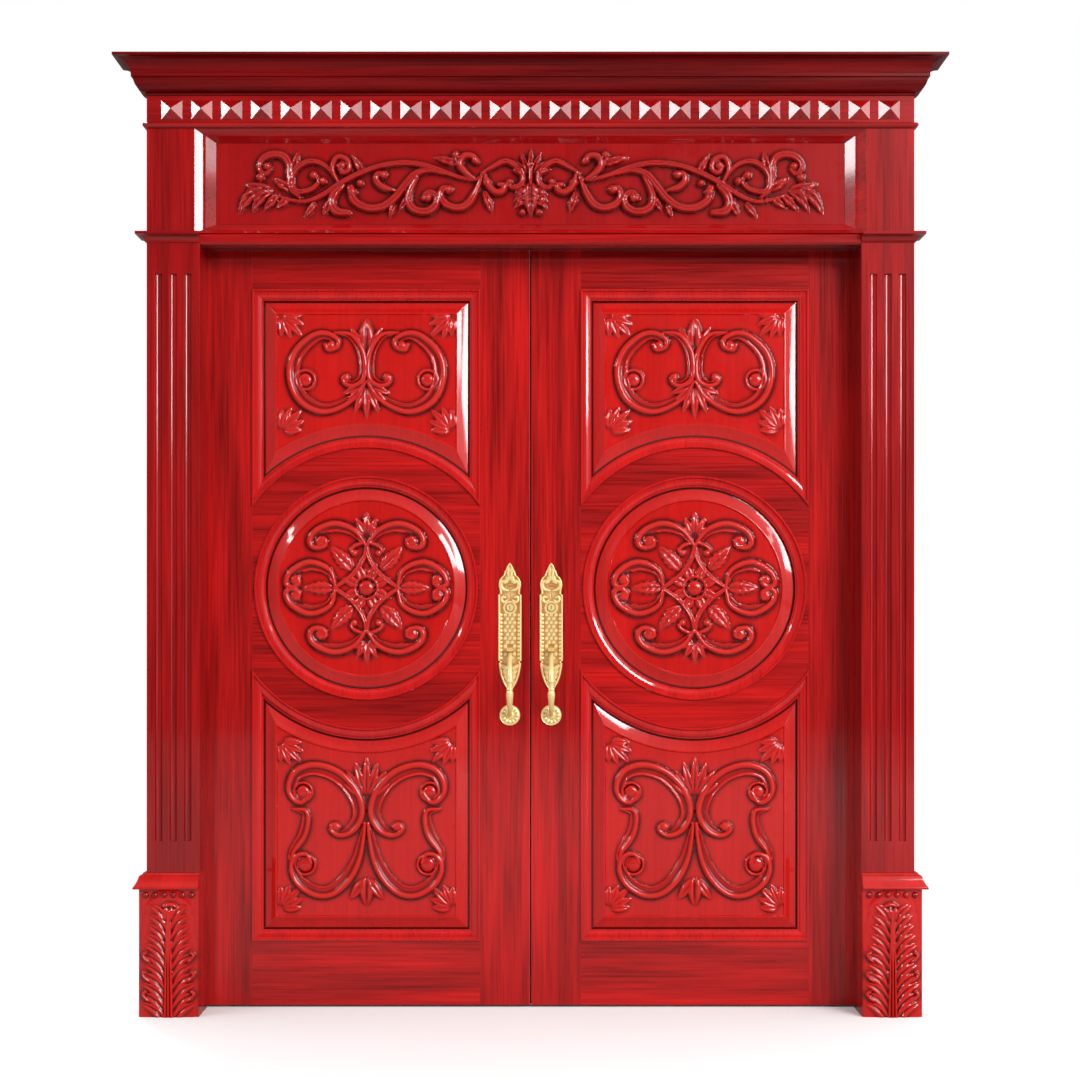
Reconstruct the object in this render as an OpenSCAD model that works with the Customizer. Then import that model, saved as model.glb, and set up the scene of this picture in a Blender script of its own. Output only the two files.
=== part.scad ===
// Carved double door in a classical surround, millimetres.
// The floor is at Z 0, the wall face is at Y 0, the front faces -Y and X 0 is the meeting line.

/* [Door leaves] */
// Width of one leaf
leaf_w = 918; // [820:1:1000]
// Height of a leaf
leaf_h = 2134; // [2050:1:2300]
// Thickness of a leaf
leaf_t = 50; // [46:1:58]
// Width of the upright stiles
stile_w = 139; // [125:1:150]
// Height of the top rail
top_rail_h = 125; // [100:1:160]
// Height of the bottom rail
bottom_rail_h = 181; // [140:1:220]
// Height of the round panel's centre, as a share of the leaf's height
medallion_share = 0.5487; // [0.53:0.0001:0.57]
// Width of the strip between the round panel's opening and a stile
medallion_margin = 6; // [3:0.5:12]
// Width of the curved rails round the round panel
arch_band = 80; // [60:1:95]

/* [Panels] */
// Width of the moulding round a panel
moulding_w = 30; // [24:1:36]
// How far the moulding stands out of the leaf
moulding_proud = 6; // [3:0.5:10]
// Width of the groove between moulding and panel
groove_w = 8; // [5:0.5:12]
// Width of the bevel round a raised field
bevel_w = 30; // [20:1:36]
// How deep the panel's edge lies behind the leaf's face
edge_depth = 14; // [12:0.5:17]
// Thickness of the panel's edge
edge_t = 12; // [8:0.5:14]
// How deep the raised field lies behind the leaf's face
field_depth = 2; // [0:0.5:6]
// Height of the raised field on the back
back_rise = 10; // [6:0.5:12]
// Gap between a panel and its opening
panel_gap = 0.5; // [0.3:0.1:1]
// Height of the panel carving
carving_h = 9; // [5:0.5:12]

/* [Gaps round the leaves] */
// Gap between the two leaves
meeting_gap = 4; // [3:0.5:6]
// Gap between a leaf and its jamb
hinge_gap = 3; // [2:0.5:5]
// Gap under the leaves
floor_gap = 6; // [4:1:12]
// Gap above the leaves
head_gap = 3; // [2:0.5:6]
// Gap between a leaf and the stop
seal_gap = 2; // [1:0.5:4]
// How far the stop covers the leaf's edge
stop_cover = 12; // [8:1:15]

/* [Frame] */
// Depth of the stop from the wall face
stop_t = 53; // [40:1:70]
// Width of the jambs behind the rebate
jamb_w = 50; // [42:1:60]
// Width of a pilaster
pilaster_w = 145; // [130:1:170]
// Thickness of a pilaster
pilaster_t = 60; // [50:1:75]
// Distance between two flutes
flute_pitch = 40; // [34:1:42]
// Width of a flute
flute_w = 20; // [14:1:24]
// Depth of a flute
flute_depth = 8; // [4:0.5:9]
// Plain length below and above the flutes
flute_margin = 86; // [50:1:120]
// Height of the plinth blocks under the ledge
plinth_h = 350; // [300:1:400]
// How far a plinth block stands out at the side
plinth_side = 18; // [8:1:26]
// How far a plinth block stands out at the front
plinth_front = 15; // [8:1:26]
// Height of the plinth ledge
ledge_h = 43; // [30:1:55]
// How far the ledge stands out of the plinth
ledge_out = 15; // [10:1:22]
// Height of the pilaster capitals
capital_h = 26; // [22:1:36]
// How far the capitals stand out
capital_out = 27; // [18:1:34]
// Size of the beads on the plinths
bead_d = 16; // [12:1:20]
// Height of the plinth carving
plinth_carving_h = 8; // [5:0.5:10]

/* [Frieze and cornice] */
// Height of the transom moulding
transom_h = 31; // [26:1:40]
// How far the transom moulding drops below the stop
transom_drop = 11; // [4:1:16]
// Height of the frieze
frieze_h = 287; // [275:1:320]
// Thickness of the board behind the frieze
backboard_t = 18; // [12:1:24]
// Width of the frieze frame's upright sides
frieze_side = 55; // [45:1:65]
// Height of the frieze frame's top side
frieze_top = 32; // [26:1:36]
// Height of the frieze frame's bottom side
frieze_bottom = 30; // [24:1:36]
// Thickness of the frieze panel
frieze_panel_t = 10; // [8:0.5:14]
// Height of the frieze carving
frieze_carving_h = 14; // [8:0.5:16]
// Height of the astragal
astragal_h = 16; // [12:1:22]
// How far the astragal stands out
astragal_out = 10; // [6:1:14]
// Height of the band that carries the studs
stud_band_h = 73; // [64:1:90]
// Plain length at each end of the stud band
stud_end = 28; // [20:1:40]
// Width of a stud
stud_w = 58; // [46:1:66]
// Height of a stud's base
stud_h = 52; // [44:1:58]
// How far a stud stands out
stud_proud = 18; // [10:1:24]
// Number of studs
stud_count = 25; // [23:2:25]
// Height of the cornice
cornice_h = 96; // [84:1:120]
// How far the cornice stands out
cornice_out = 78; // [66:1:96]

/* [Hinges and fixings] */
// Length of a butt hinge
hinge_len = 120; // [100:1:140]
// Thickness of a hinge plate
hinge_plate_t = 3; // [2:0.25:4]
// Radius of the hinge knuckles
knuckle_r = 8; // [7:0.5:10]
// Radius of the hinge pins
pin_r = 4; // [3:0.25:5]
// Clearance round a hinge pin
pin_gap = 0.05; // [0.02:0.01:0.1]
// Radius of the fixing holes in the jambs
fixing_r = 4; // [3:0.5:6]
// Distance between the two fixing holes of a jamb
fixing_pitch = 1500; // [1300:10:1700]

/* [Handles and locks] */
// Distance of the handles from the leaf's meeting edge
handle_inset = 56; // [50:1:68]
// Height of the handle plate's lower end
handle_z = 896; // [860:1:940]
// Width of the handle plate
handle_w = 66; // [58:1:72]
// Thickness of the handle plate
handle_t = 4; // [3:0.5:6]
// Distance of the grip from the handle plate
grip_reach = 45; // [38:1:55]
// Radius of the grip
grip_r = 7; // [6:0.5:9]
// Radius of the rosette under the grip
rosette_r = 29; // [24:1:32]
// Thickness of the rosette
rosette_t = 8; // [7:0.5:12]
// Radius of the key cylinder
key_r = 9; // [7:0.5:11]
// Thickness of the lock case
lock_t = 18; // [16:0.5:20]
// Depth of the lock case behind the leaf's edge
lock_depth = 88; // [82:1:100]
// Travel of the latch bolt
latch_travel = 12; // [8:1:14]
// Travel of the dead bolt
bolt_travel = 20; // [14:1:22]
// Radius of the flush bolts
flush_r = 6; // [5:0.5:7]
// Length of the flush bolts
flush_len = 220; // [180:5:260]
// Travel of the flush bolts
flush_travel = 15; // [12:1:20]
// Clearance round sliding and turning pieces
slide_gap = 0.3; // [0.2:0.05:0.5]

/* [Hidden] */
WOOD = "#a01218";
CARVED = "#b3171b";
MOULDED = "#8c0f14";
BRASS = "#dba640";
STEEL = "#a9abae";

// Leaf and rebate planes
leaf_y0 = stop_t + seal_gap;
leaf_y1 = leaf_y0 + leaf_t;
leaf_ym = leaf_y0 + leaf_t / 2;
leaf_z0 = floor_gap;
leaf_z1 = floor_gap + leaf_h;
leaf_x0 = meeting_gap / 2;
leaf_x1 = leaf_x0 + leaf_w;
leaf_xm = leaf_x0 + leaf_w / 2;
stop_x = leaf_x1 - stop_cover;
stop_z = leaf_z1 - stop_cover;
rebate_x = leaf_x1 + hinge_gap;
rebate_z = leaf_z1 + head_gap;
jamb_x1 = rebate_x + jamb_w;
head_z1 = rebate_z + jamb_w;
open_w = leaf_w - 2 * stile_w;
medallion_z = round(leaf_z0 + medallion_share * leaf_h);
medallion_r = open_w / 2 - medallion_margin;
arch_r = medallion_r + arch_band;
upper_z1 = leaf_z1 - top_rail_h;
lower_z0 = leaf_z0 + bottom_rail_h;

// Surround
pilaster_x1 = stop_x + pilaster_w;
plinth_top = plinth_h + ledge_h;
frieze_z0 = stop_z - transom_drop + transom_h;
frieze_z1 = frieze_z0 + frieze_h;
stud_z0 = frieze_z1 + astragal_h;
stud_z1 = stud_z0 + stud_band_h;
stud_pitch = 2 * (pilaster_x1 - stud_end) / stud_count;
pilaster_z1 = frieze_z0 - capital_h;
block_x0 = stop_x + 15;
field_x = block_x0 - frieze_side;
field_z0 = frieze_z0 + frieze_bottom;
field_z1 = frieze_z1 - frieze_top;
field_zm = (field_z0 + field_z1) / 2;
frieze_y = -backboard_t - frieze_panel_t;

// Hinges
hinge_x = leaf_x1 + hinge_gap / 2;
hinge_y = leaf_y1 + knuckle_r - 1;
hinge_z = [leaf_z0 + 250, medallion_z, leaf_z1 - 250];
knuckles = 5;
knuckle_gap = 0.4;
plate_w = leaf_t - 12;
plate_y1 = hinge_y - knuckle_r - knuckle_gap;

// Locks and handles
handle_x = leaf_x0 + handle_inset;
latch_z = handle_z + 111;
key_z = handle_z + 226;
lock_z0 = latch_z - 32;
lock_z1 = key_z + 32;
face_t = 2.5;
face_w = lock_t + 6;
grip_z1 = handle_z + 84;
grip_z0 = handle_z - 76;
flush_x = leaf_x0 + 16;
knob_z = 170;

// Steps along each stretch of a carved stroke
steps = 1;

// Points of a smooth curve through the points p, with k steps on each stretch
function spline_at(a, b, c, d, t) =
    0.5 * (2 * b + (c - a) * t + (2 * a - 5 * b + 4 * c - d) * t * t + (3 * b - a - 3 * c + d) * t * t * t);
function spline(p, k) = let (n = len(p) - 1) concat(
    [for (i = [0:n - 1]) for (j = [0:k - 1])
        spline_at(p[max(i - 1, 0)], p[i], p[i + 1], p[min(i + 2, n)], j / k)],
    [p[n]]);
function unit(v) = v / norm(v);
function flip(p) = [for (q = p) [-q[0], q[1]]];

// Copies for the left side are mirror images of the right side
module on_side(s) {
    if (s < 0) mirror([1, 0, 0]) children();
    else children();
}

// Stands a flat carving up, with its back on the plane y
module upright(x, y, z) {
    translate([x, y, z]) rotate([90, 0, 0]) children();
}

module box(x0, x1, y0, y1, z0, z1) {
    translate([x0, y0, z0]) cube([x1 - x0, y1 - y0, z1 - z0]);
}

// Solid between loops that have the same number of points
module loft(loops) {
    n = len(loops[0]);
    m = len(loops) - 1;
    sides = [for (i = [0:m - 1]) for (j = [0:n - 1])
        [i * n + j, i * n + (j + 1) % n, (i + 1) * n + (j + 1) % n, (i + 1) * n + j]];
    halves = [for (q = sides) each [[q[0], q[1], q[2]], [q[0], q[2], q[3]]]];
    ends = [[for (j = [n - 1:-1:0]) j], [for (j = [0:n - 1]) m * n + j]];
    polyhedron([for (l = loops) each l], concat(halves, ends));
}

// Carved ridge along a smooth curve: wide in the middle, narrow at both ends
module stroke(p, w, h, tail = 0.35, k = steps) {
    c = spline(p, k);
    n = len(c) - 1;
    sink = -1;
    loops = [for (i = [0:n]) let (
        t = unit(c[min(i + 1, n)] - c[max(i - 1, 0)]),
        swell = tail + (1 - tail) * sin(180 * min(1, (i + 0.5) / (n + 0.5))),
        side = [t[1], -t[0]] * w * swell / 2,
        b = c[i] + side,
        d = c[i] - side,
        top = h * (0.45 + 0.55 * swell)
    ) [[b[0], b[1], sink], [c[i][0], c[i][1], top], [d[0], d[1], sink]]];
    loft(loops);
}

// Leaf lobe from its root p to its tip q
module lobe(p, q, w, h) {
    tip_share = 0.15;
    hull() {
        translate([p[0], p[1], -1]) cylinder(h = h + 1, r1 = w / 2, r2 = 0, $fn = 5);
        translate([q[0], q[1], -1]) cylinder(h = h / 2 + 1, r1 = w * tip_share, r2 = 0, $fn = 3);
    }
}

// Round boss with sloping sides
module boss(p, r, h) {
    translate([p[0], p[1], -1]) cylinder(h = h + 1, r1 = r, r2 = r * 0.6, $fn = 7);
}

// Strokes and their mirror images
module pair(p, w, h, tail = 0.35, k = steps) {
    stroke(p, w, h, tail, k);
    stroke(flip(p), w, h, tail, k);
}

module lobe_pair(p, q, w, h) {
    lobe(p, q, w, h);
    lobe([-p[0], p[1]], [-q[0], q[1]], w, h);
}

module boss_pair(p, r, h) {
    boss(p, r, h);
    boss([-p[0], p[1]], r, h);
}

// Fan of lobes from the point p, spread about the direction a
module fan(p, a, spread, length, count, w, h) {
    for (i = [0:count - 1]) {
        b = a + spread * (i / (count - 1) - 0.5);
        l = length * (1 - 0.3 * abs(2 * i / (count - 1) - 1));
        lobe(p + 0.25 * l * [cos(b), sin(b)], p + l * [cos(b), sin(b)], w, h);
    }
}

// Block whose front and outer sides follow one profile of [stand-out, height] points
module moulded_block(x0, x1, y_front, z0, profile, both_ends = false) {
    far = 2 * (cornice_out + pilaster_t);
    h = profile[len(profile) - 1][1];
    side = [for (p = profile) [x1 + p[0], z0 + p[1]]];
    left = [for (i = [len(profile) - 1:-1:0]) [x0 - profile[i][0], z0 + profile[i][1]]];
    plain = [[x0, z0 + h], [x0, z0]];
    front = concat([[0, z0]], [for (p = profile) [y_front - p[0], z0 + p[1]]], [[0, z0 + h]]);
    intersection() {
        translate([x0 - far, 0, 0]) rotate([90, 0, 90]) linear_extrude(x1 - x0 + 2 * far) polygon(front);
        rotate([90, 0, 0]) linear_extrude(far) polygon(concat(side, both_ends ? left : plain));
    }
}

// Jambs with the stop worked on, pockets for the hinge plates and two fixing holes
module jamb(s) {
    color(WOOD) on_side(s) difference() {
        linear_extrude(head_z1) polygon([
            [stop_x, 0], [jamb_x1, 0], [jamb_x1, leaf_y1],
            [rebate_x, leaf_y1], [rebate_x, stop_t], [stop_x, stop_t]]);
        for (z = hinge_z)
            box(rebate_x - 1, rebate_x + hinge_plate_t, leaf_y1 - plate_w, leaf_y1 + 1,
                z - hinge_len / 2, z + hinge_len / 2);
        for (e = [-1, 1])
            translate([rebate_x - 1, leaf_ym, medallion_z + 150 + e * fixing_pitch / 2])
                rotate([0, 90, 0]) cylinder(h = jamb_w + 2, r = fixing_r, $fn = 32);
    }
}

strike_len = 60;

module head_jamb() {
    color(WOOD) difference() {
        union() {
            box(-stop_x, stop_x, 0, stop_t, stop_z, head_z1);
            box(-rebate_x, rebate_x, stop_t, leaf_y1, rebate_z, head_z1);
        }
        box(-flush_x - strike_len / 2, -flush_x + strike_len / 2, leaf_ym - face_w / 2, leaf_ym + face_w / 2,
            rebate_z - 1, rebate_z + face_t);
        translate([-flush_x, leaf_ym, rebate_z]) cylinder(h = flush_travel + 8, r = flush_r + 1, $fn = 32);
    }
}

module pilaster(s) {
    flute_r = (flute_w * flute_w / 4 + flute_depth * flute_depth) / (2 * flute_depth);
    color(WOOD) on_side(s) difference() {
        box(stop_x, pilaster_x1, -pilaster_t, 0, plinth_top, pilaster_z1);
        for (i = [-1, 0, 1])
            translate([stop_x + pilaster_w / 2 + i * flute_pitch, -pilaster_t - flute_r + flute_depth,
                plinth_top + flute_margin])
                cylinder(h = pilaster_z1 - plinth_top - 2 * flute_margin, r = flute_r, $fn = 48);
    }
}

// Cove under a square edge
module capital(s) {
    edge = 8;
    cove = [capital_out - 5, capital_h - edge - 2];
    profile = concat([[2, 0]],
        [for (i = [0:6]) [5 + cove[0] * (1 - cos(15 * i)), 2 + cove[1] * sin(15 * i)]],
        [[capital_out, capital_h - edge], [capital_out, capital_h]]);
    color(MOULDED) on_side(s) moulded_block(stop_x, pilaster_x1, -pilaster_t, pilaster_z1, profile);
}

// Plinth block with a sloping ledge, a row of beads and a carved acanthus leaf
module plinth(s) {
    x1 = pilaster_x1 + plinth_side;
    w = x1 - stop_x;
    y = -pilaster_t - plinth_front;
    lip = 8;
    profile = [[ledge_out, 0], [ledge_out, lip], [ledge_out - 5, lip + 4],
        [-plinth_front + 6, ledge_h - 6], [-plinth_front + 6, ledge_h]];
    bead_count = 6;
    bead_pitch = (w - 20) / bead_count;
    fronds = 6;
    frond_pitch = (plinth_h - 130) / fronds;
    reach = w / 2 - 16;
    color(CARVED) on_side(s) union() {
        box(stop_x, x1, y, 0, 0, plinth_h);
        moulded_block(stop_x, x1, y, plinth_h, profile);
        upright(stop_x + w / 2, y, 0) {
            for (i = [0:bead_count - 1])
                boss([(i + 0.5 - bead_count / 2) * bead_pitch, plinth_h - bead_d], bead_d / 2, bead_d / 2);
            stroke([[0, 4], [0, plinth_h / 2], [0, plinth_h - 70]], 16, plinth_carving_h, 0.5, 2);
            for (i = [0:fronds - 1]) {
                z = 20 + i * frond_pitch;
                lobe_pair([14, z + 8], [reach, z + 46], 26, plinth_carving_h);
            }
            fan([0, plinth_h - 75], 90, 200, 34, 5, 18, plinth_carving_h);
            for (z = [70, 150]) lobe_pair([reach - 12, z - 16], [reach + 6, z + 4], 20, plinth_carving_h);
        }
    }
}

module frieze_block(s) {
    color(WOOD) on_side(s) box(block_x0, pilaster_x1, -pilaster_t, -backboard_t, frieze_z0, frieze_z1);
}

module header_backboard() {
    color(WOOD) box(-pilaster_x1, pilaster_x1, -backboard_t, 0, frieze_z0, stud_z1);
}

// Double bevel that falls from the blocks to the panel, with a quirk between
module frieze_frame() {
    fall = pilaster_t - backboard_t - frieze_panel_t;
    levels = [[0.02, 1.1], [0.02, 0.98], [0.4, 0.62], [0.54, 0.6], [1, 0], [1, -0.6]];
    y = [for (l = levels) frieze_y - l[1] * fall];
    half = [for (l = levels) block_x0 - l[0] * frieze_side];
    top = [for (l = levels) frieze_z1 - l[0] * frieze_top];
    bottom = [for (l = levels) frieze_z0 + l[0] * frieze_bottom];
    n = len(levels) - 1;
    color(MOULDED) difference() {
        box(-block_x0, block_x0, -pilaster_t, -backboard_t, frieze_z0, frieze_z1);
        intersection() {
            translate([0, 0, frieze_z0 - 1]) linear_extrude(frieze_h + 2) polygon(concat(
                [for (i = [0:n]) [half[i], y[i]]], [for (i = [n:-1:0]) [-half[i], y[i]]]));
            translate([-block_x0 - 1, 0, 0]) rotate([90, 0, 90]) linear_extrude(2 * block_x0 + 2)
                polygon(concat([for (i = [0:n]) [y[i], top[i]]], [for (i = [n:-1:0]) [y[i], bottom[i]]]));
        }
    }
}

// Running scrolls either side of a palmette, drawn for the left half
module frieze_carving() {
    h = frieze_carving_h;
    stem_a = [[-732, -19], [-658, -39], [-594, -30], [-544, 5], [-485, 34], [-421, 57], [-304, 59],
        [-241, 47], [-190, 19], [-154, 14], [-130, 33]];
    stem_b = [[-505, -3], [-492, -36], [-471, -59], [-421, -64], [-362, -20], [-318, 30], [-282, 41]];
    stem_c = [[-130, 28], [-154, -18], [-186, -54], [-222, -63], [-249, -41], [-249, -17], [-230, -11]];
    end_scroll = [[-649, -19], [-675, 8], [-677, 44], [-688, 74], [-712, 86], [-740, 77], [-743, 52],
        [-726, 41]];
    left_volute = [[-547, 25], [-580, 55], [-619, 66], [-657, 41], [-660, 8], [-630, -8], [-594, 3]];
    right_volute = [[-282, 41], [-326, 14], [-340, -36], [-321, -72], [-282, -74], [-260, -47], [-277, -25]];
    stem_curl = [[-381, -14], [-425, -6], [-439, 19], [-420, 39], [-401, 30]];
    drop_leaf = [[-520, 0], [-544, -14], [-554, -39], [-544, -69], [-515, -76]];
    centre_scroll = [[-144, 47], [-103, 65], [-67, 65], [-30, 37], [-21, 14], [-39, -8], [-62, -4]];
    end_leaf = [[-732, -10], [-773, 0], [-788, -36], [-792, -79]];
    top_leaf = [[-177, 19], [-199, 51], [-208, 83]];
    pair(stem_a, 17, h * 0.7, 0.5, 1);
    pair(stem_b, 18, h * 0.75, 0.4, 1);
    pair(stem_c, 17, h * 0.75, 0.4, 1);
    pair(end_scroll, 18, h * 0.8, 0.45, 1);
    pair(left_volute, 18, h * 0.8, 0.45, 1);
    pair(right_volute, 20, h * 0.85, 0.45, 1);
    pair(stem_curl, 15, h * 0.7, 0.4, 1);
    pair(drop_leaf, 20, h * 0.85, 0.35, 1);
    pair(centre_scroll, 18, h * 0.85, 0.45, 1);
    pair(end_leaf, 26, h * 0.8, 0.3, 1);
    pair(top_leaf, 18, h * 0.75, 0.35, 1);
    boss_pair([-522, 52], 22, h * 0.9);
    boss_pair([-180, 74], 15, h * 0.8);
    lobe_pair([-718, 0], [-773, -55], 26, h * 0.7);
    lobe_pair([-208, 72], [-268, 76], 18, h * 0.6);
    lobe_pair([-122, -36], [-112, -74], 20, h * 0.7);
    lobe_pair([-340, -50], [-366, -84], 18, h * 0.6);
    lobe_pair([-560, -50], [-596, -84], 20, h * 0.6);
    fan([0, 10], 90, 170, 84, 7, 24, h * 0.85);
    fan([0, 0], 270, 110, 78, 5, 22, h * 0.85);
    boss([0, 6], 20, h);
}

module frieze_panel() {
    carving_drop = 4;
    color(CARVED) union() {
        box(-field_x + panel_gap, field_x - panel_gap, frieze_y, -backboard_t,
            field_z0 + panel_gap, field_z1 - panel_gap);
        upright(0, frieze_y, field_zm - carving_drop)
            scale([2 * field_x / frieze_drawn[0], (field_z1 - field_z0) / frieze_drawn[1], 1])
                frieze_carving();
    }
}

module transom_moulding() {
    z0 = frieze_z0 - transom_h;
    lip = 5;
    color(MOULDED) translate([-stop_x, 0, 0]) rotate([90, 0, 90]) linear_extrude(2 * stop_x) polygon([
        [0, z0 + transom_drop], [-backboard_t, z0 + transom_drop], [-backboard_t, z0],
        [-pilaster_t + lip, z0], [-pilaster_t, z0 + lip], [-pilaster_t, frieze_z0 - lip],
        [-pilaster_t + lip, frieze_z0], [0, frieze_z0]]);
}

// Half-round bead that runs along the front and both ends
module astragal_moulding() {
    round_part = [for (i = [0:8]) [
        astragal_out * sin(22.5 * i), astragal_h / 2 * (1 - cos(22.5 * i))]];
    color(MOULDED) difference() {
        moulded_block(-pilaster_x1, pilaster_x1, -pilaster_t, frieze_z1, round_part, true);
        box(-pilaster_x1, pilaster_x1, -backboard_t, 1, frieze_z1 - 1, stud_z0 + 1);
    }
}

module stud_band() {
    color(WOOD) box(-pilaster_x1, pilaster_x1, -pilaster_t, -backboard_t, stud_z0, stud_z1);
}

module nailhead_studs() {
    z = stud_z0 + stud_h / 2 + (stud_band_h - stud_h) * 0.4;
    base = [[-stud_w / 2, -stud_h / 2, 0], [stud_w / 2, -stud_h / 2, 0],
        [stud_w / 2, stud_h / 2, 0], [-stud_w / 2, stud_h / 2, 0]];
    color(CARVED) for (i = [0:stud_count - 1])
        upright((i - (stud_count - 1) / 2) * stud_pitch, -pilaster_t, z)
            polyhedron(concat(base, [[0, 0, stud_proud]]),
                [[0, 1, 2, 3], [1, 0, 4], [2, 1, 4], [3, 2, 4], [0, 3, 4]]);
}

// Bead, quarter round, fillet, cove and lip, from the bottom up
module cornice() {
    bead = 8;
    lip = 7;
    fillet = 8;
    round_w = cornice_out * 0.36;
    round_h = (cornice_h - bead - lip - fillet) * 0.48;
    cove_w = cornice_out - round_w - 10;
    cove_h = cornice_h - bead - lip - fillet - round_h;
    profile = concat(
        [for (i = [0:4]) [bead * 0.6 * sin(45 * i), bead / 2 * (1 - cos(45 * i))]],
        [for (i = [0:6]) [3 + round_w * sin(15 * i), bead + round_h * (1 - cos(15 * i))]],
        [[round_w + 8, bead + round_h], [round_w + 8, bead + round_h + fillet]],
        [for (i = [1:6]) [
            round_w + 8 + cove_w * (1 - cos(15 * i)),
            bead + round_h + fillet + cove_h * sin(15 * i)]],
        [[cornice_out, cornice_h - lip], [cornice_out, cornice_h]]);
    color(MOULDED) moulded_block(-pilaster_x1, pilaster_x1, -pilaster_t, stud_z1, profile, true);
}

// Stiles run the full height; the hinge stile has pockets for the hinge plates
module hinge_stile(s) {
    color(WOOD) on_side(s) difference() {
        box(leaf_x1 - stile_w, leaf_x1, leaf_y0, leaf_y1, leaf_z0, leaf_z1);
        for (z = hinge_z)
            box(leaf_x1 - hinge_plate_t, leaf_x1 + 1, leaf_y1 - plate_w, leaf_y1 + 1,
                z - hinge_len / 2, z + hinge_len / 2);
    }
}

thumb_slot = [26, 40];

module meeting_stile(s) {
    back = leaf_ym - lock_t / 2;
    color(WOOD) on_side(s) difference() {
        box(leaf_x0, leaf_x0 + stile_w, leaf_y0, leaf_y1, leaf_z0, leaf_z1);
        box(leaf_x0 - 1, leaf_x0 + face_t, leaf_ym - face_w / 2, leaf_ym + face_w / 2, lock_z0, lock_z1);
        if (s > 0) {
            box(leaf_x0, leaf_x0 + lock_depth, back, back + lock_t, lock_z0 + 12, lock_z1 - 12);
            translate([handle_x, leaf_y0 - 1, key_z]) rotate([-90, 0, 0])
                cylinder(h = back - leaf_y0 + 2, r = key_r + 2, $fn = 48);
        } else {
            for (z = [latch_z, key_z])
                box(leaf_x0, leaf_x0 + bolt_travel + 8, leaf_ym - 8, leaf_ym + 8, z - 16, z + 16);
            translate([flush_x, leaf_ym, leaf_z1 - flush_len - 20])
                cylinder(h = flush_len + 21, r = flush_r + slide_gap, $fn = 48);
            translate([flush_x, leaf_ym, leaf_z0 - 1])
                cylinder(h = flush_len + 21, r = flush_r + slide_gap, $fn = 48);
            for (z = [leaf_z0 + knob_z, leaf_z1 - knob_z])
                box(leaf_x0 - 1, flush_x, leaf_ym - 5, leaf_ym + 5,
                    z - 12 - flush_travel, z + 12 + flush_travel);
        }
        box(handle_x - thumb_slot[0] / 2, handle_x + thumb_slot[0] / 2, leaf_y0 - 1, back + 1,
            latch_z - thumb_slot[1] / 2, latch_z + thumb_slot[1] / 2);
    }
}

module top_rail(s) {
    color(WOOD) on_side(s)
        box(leaf_xm - open_w / 2, leaf_xm + open_w / 2, leaf_y0, leaf_y1, upper_z1, leaf_z1);
}

module bottom_rail(s) {
    color(WOOD) on_side(s)
        box(leaf_xm - open_w / 2, leaf_xm + open_w / 2, leaf_y0, leaf_y1, leaf_z0, lower_z0);
}

// Curved rails: half of a ring round the round panel, cut off at the stiles
module arch_rail(s, up) {
    color(WOOD) on_side(s)
        translate([leaf_xm, leaf_y1, medallion_z]) rotate([90, 0, 0]) linear_extrude(leaf_t)
            difference() {
                intersection() {
                    circle(arch_r, $fn = 120);
                    translate([-open_w / 2, up ? 0 : -arch_r]) square([open_w, arch_r]);
                }
                circle(medallion_r, $fn = 120);
            }
}

// Stand-out of the panel moulding's inner edge: [distance from the opening, height over the leaf]
quirk = 5;
moulding_profile = concat(
    [[quirk, moulding_proud], [quirk, 1]],
    [for (i = [0:4]) [
        quirk + 4 + (moulding_w - quirk - 8) * sin(22.5 * i),
        1 - (edge_depth - 6) * (1 - cos(22.5 * i))]],
    [[moulding_w, 7 - edge_depth]]);

// Flat outline of the panel opening over or under the curved rails, set in by u
module opening_outline(height, u) {
    difference() {
        translate([-open_w / 2 + u, 0]) square([open_w - 2 * u, height - u]);
        circle(arch_r + u, $fn = 120);
    }
}

// Moulding round an opening with one curved side, lying flat with the leaf's face at z 0
module arched_moulding(height, depth) {
    over = moulding_proud + 1;
    last = [moulding_w, -depth - 1];
    cut = concat([[quirk, over]], moulding_profile, [last]);
    n = len(cut) - 1;
    difference() {
        translate([0, 0, -depth]) linear_extrude(depth + moulding_proud) opening_outline(height, 0);
        difference() {
            intersection() {
                translate([0, height, 0]) rotate([90, 0, 0]) linear_extrude(height) polygon(concat(
                    [for (i = [0:n]) [open_w / 2 - cut[i][0], cut[i][1]]],
                    [for (i = [n:-1:0]) [cut[i][0] - open_w / 2, cut[i][1]]]));
                translate([-open_w / 2, 0, 0]) rotate([90, 0, 90]) linear_extrude(open_w) polygon(concat(
                    [[0, over]], [for (p = cut) [height - p[0], p[1]]], [[0, last[1]]]));
            }
            rotate_extrude($fn = 120) polygon(concat(
                [[0, over]], [for (p = cut) [arch_r + p[0], p[1]]], [[0, last[1]]]));
        }
    }
}

module round_moulding(depth) {
    cut = concat(moulding_profile, [[moulding_w, -depth]]);
    rotate_extrude($fn = 120) polygon(concat(
        [[medallion_r, -depth], [medallion_r, moulding_proud]], [for (p = cut) [medallion_r - p[0], p[1]]]));
}

// The six mouldings of a leaf: three on the front and three on the back
module panel_mouldings(s) {
    back_depth = leaf_t - edge_depth - edge_t;
    color(MOULDED) on_side(s) {
        translate([leaf_xm, leaf_y0, medallion_z]) rotate([90, 0, 0]) {
            arched_moulding(upper_z1 - medallion_z, edge_depth);
            round_moulding(edge_depth);
            mirror([0, 1, 0]) arched_moulding(medallion_z - lower_z0, edge_depth);
        }
        translate([leaf_xm, leaf_y1, medallion_z]) rotate([-90, 0, 0]) {
            mirror([0, 1, 0]) arched_moulding(upper_z1 - medallion_z, back_depth);
            round_moulding(back_depth);
            arched_moulding(medallion_z - lower_z0, back_depth);
        }
    }
}

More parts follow.
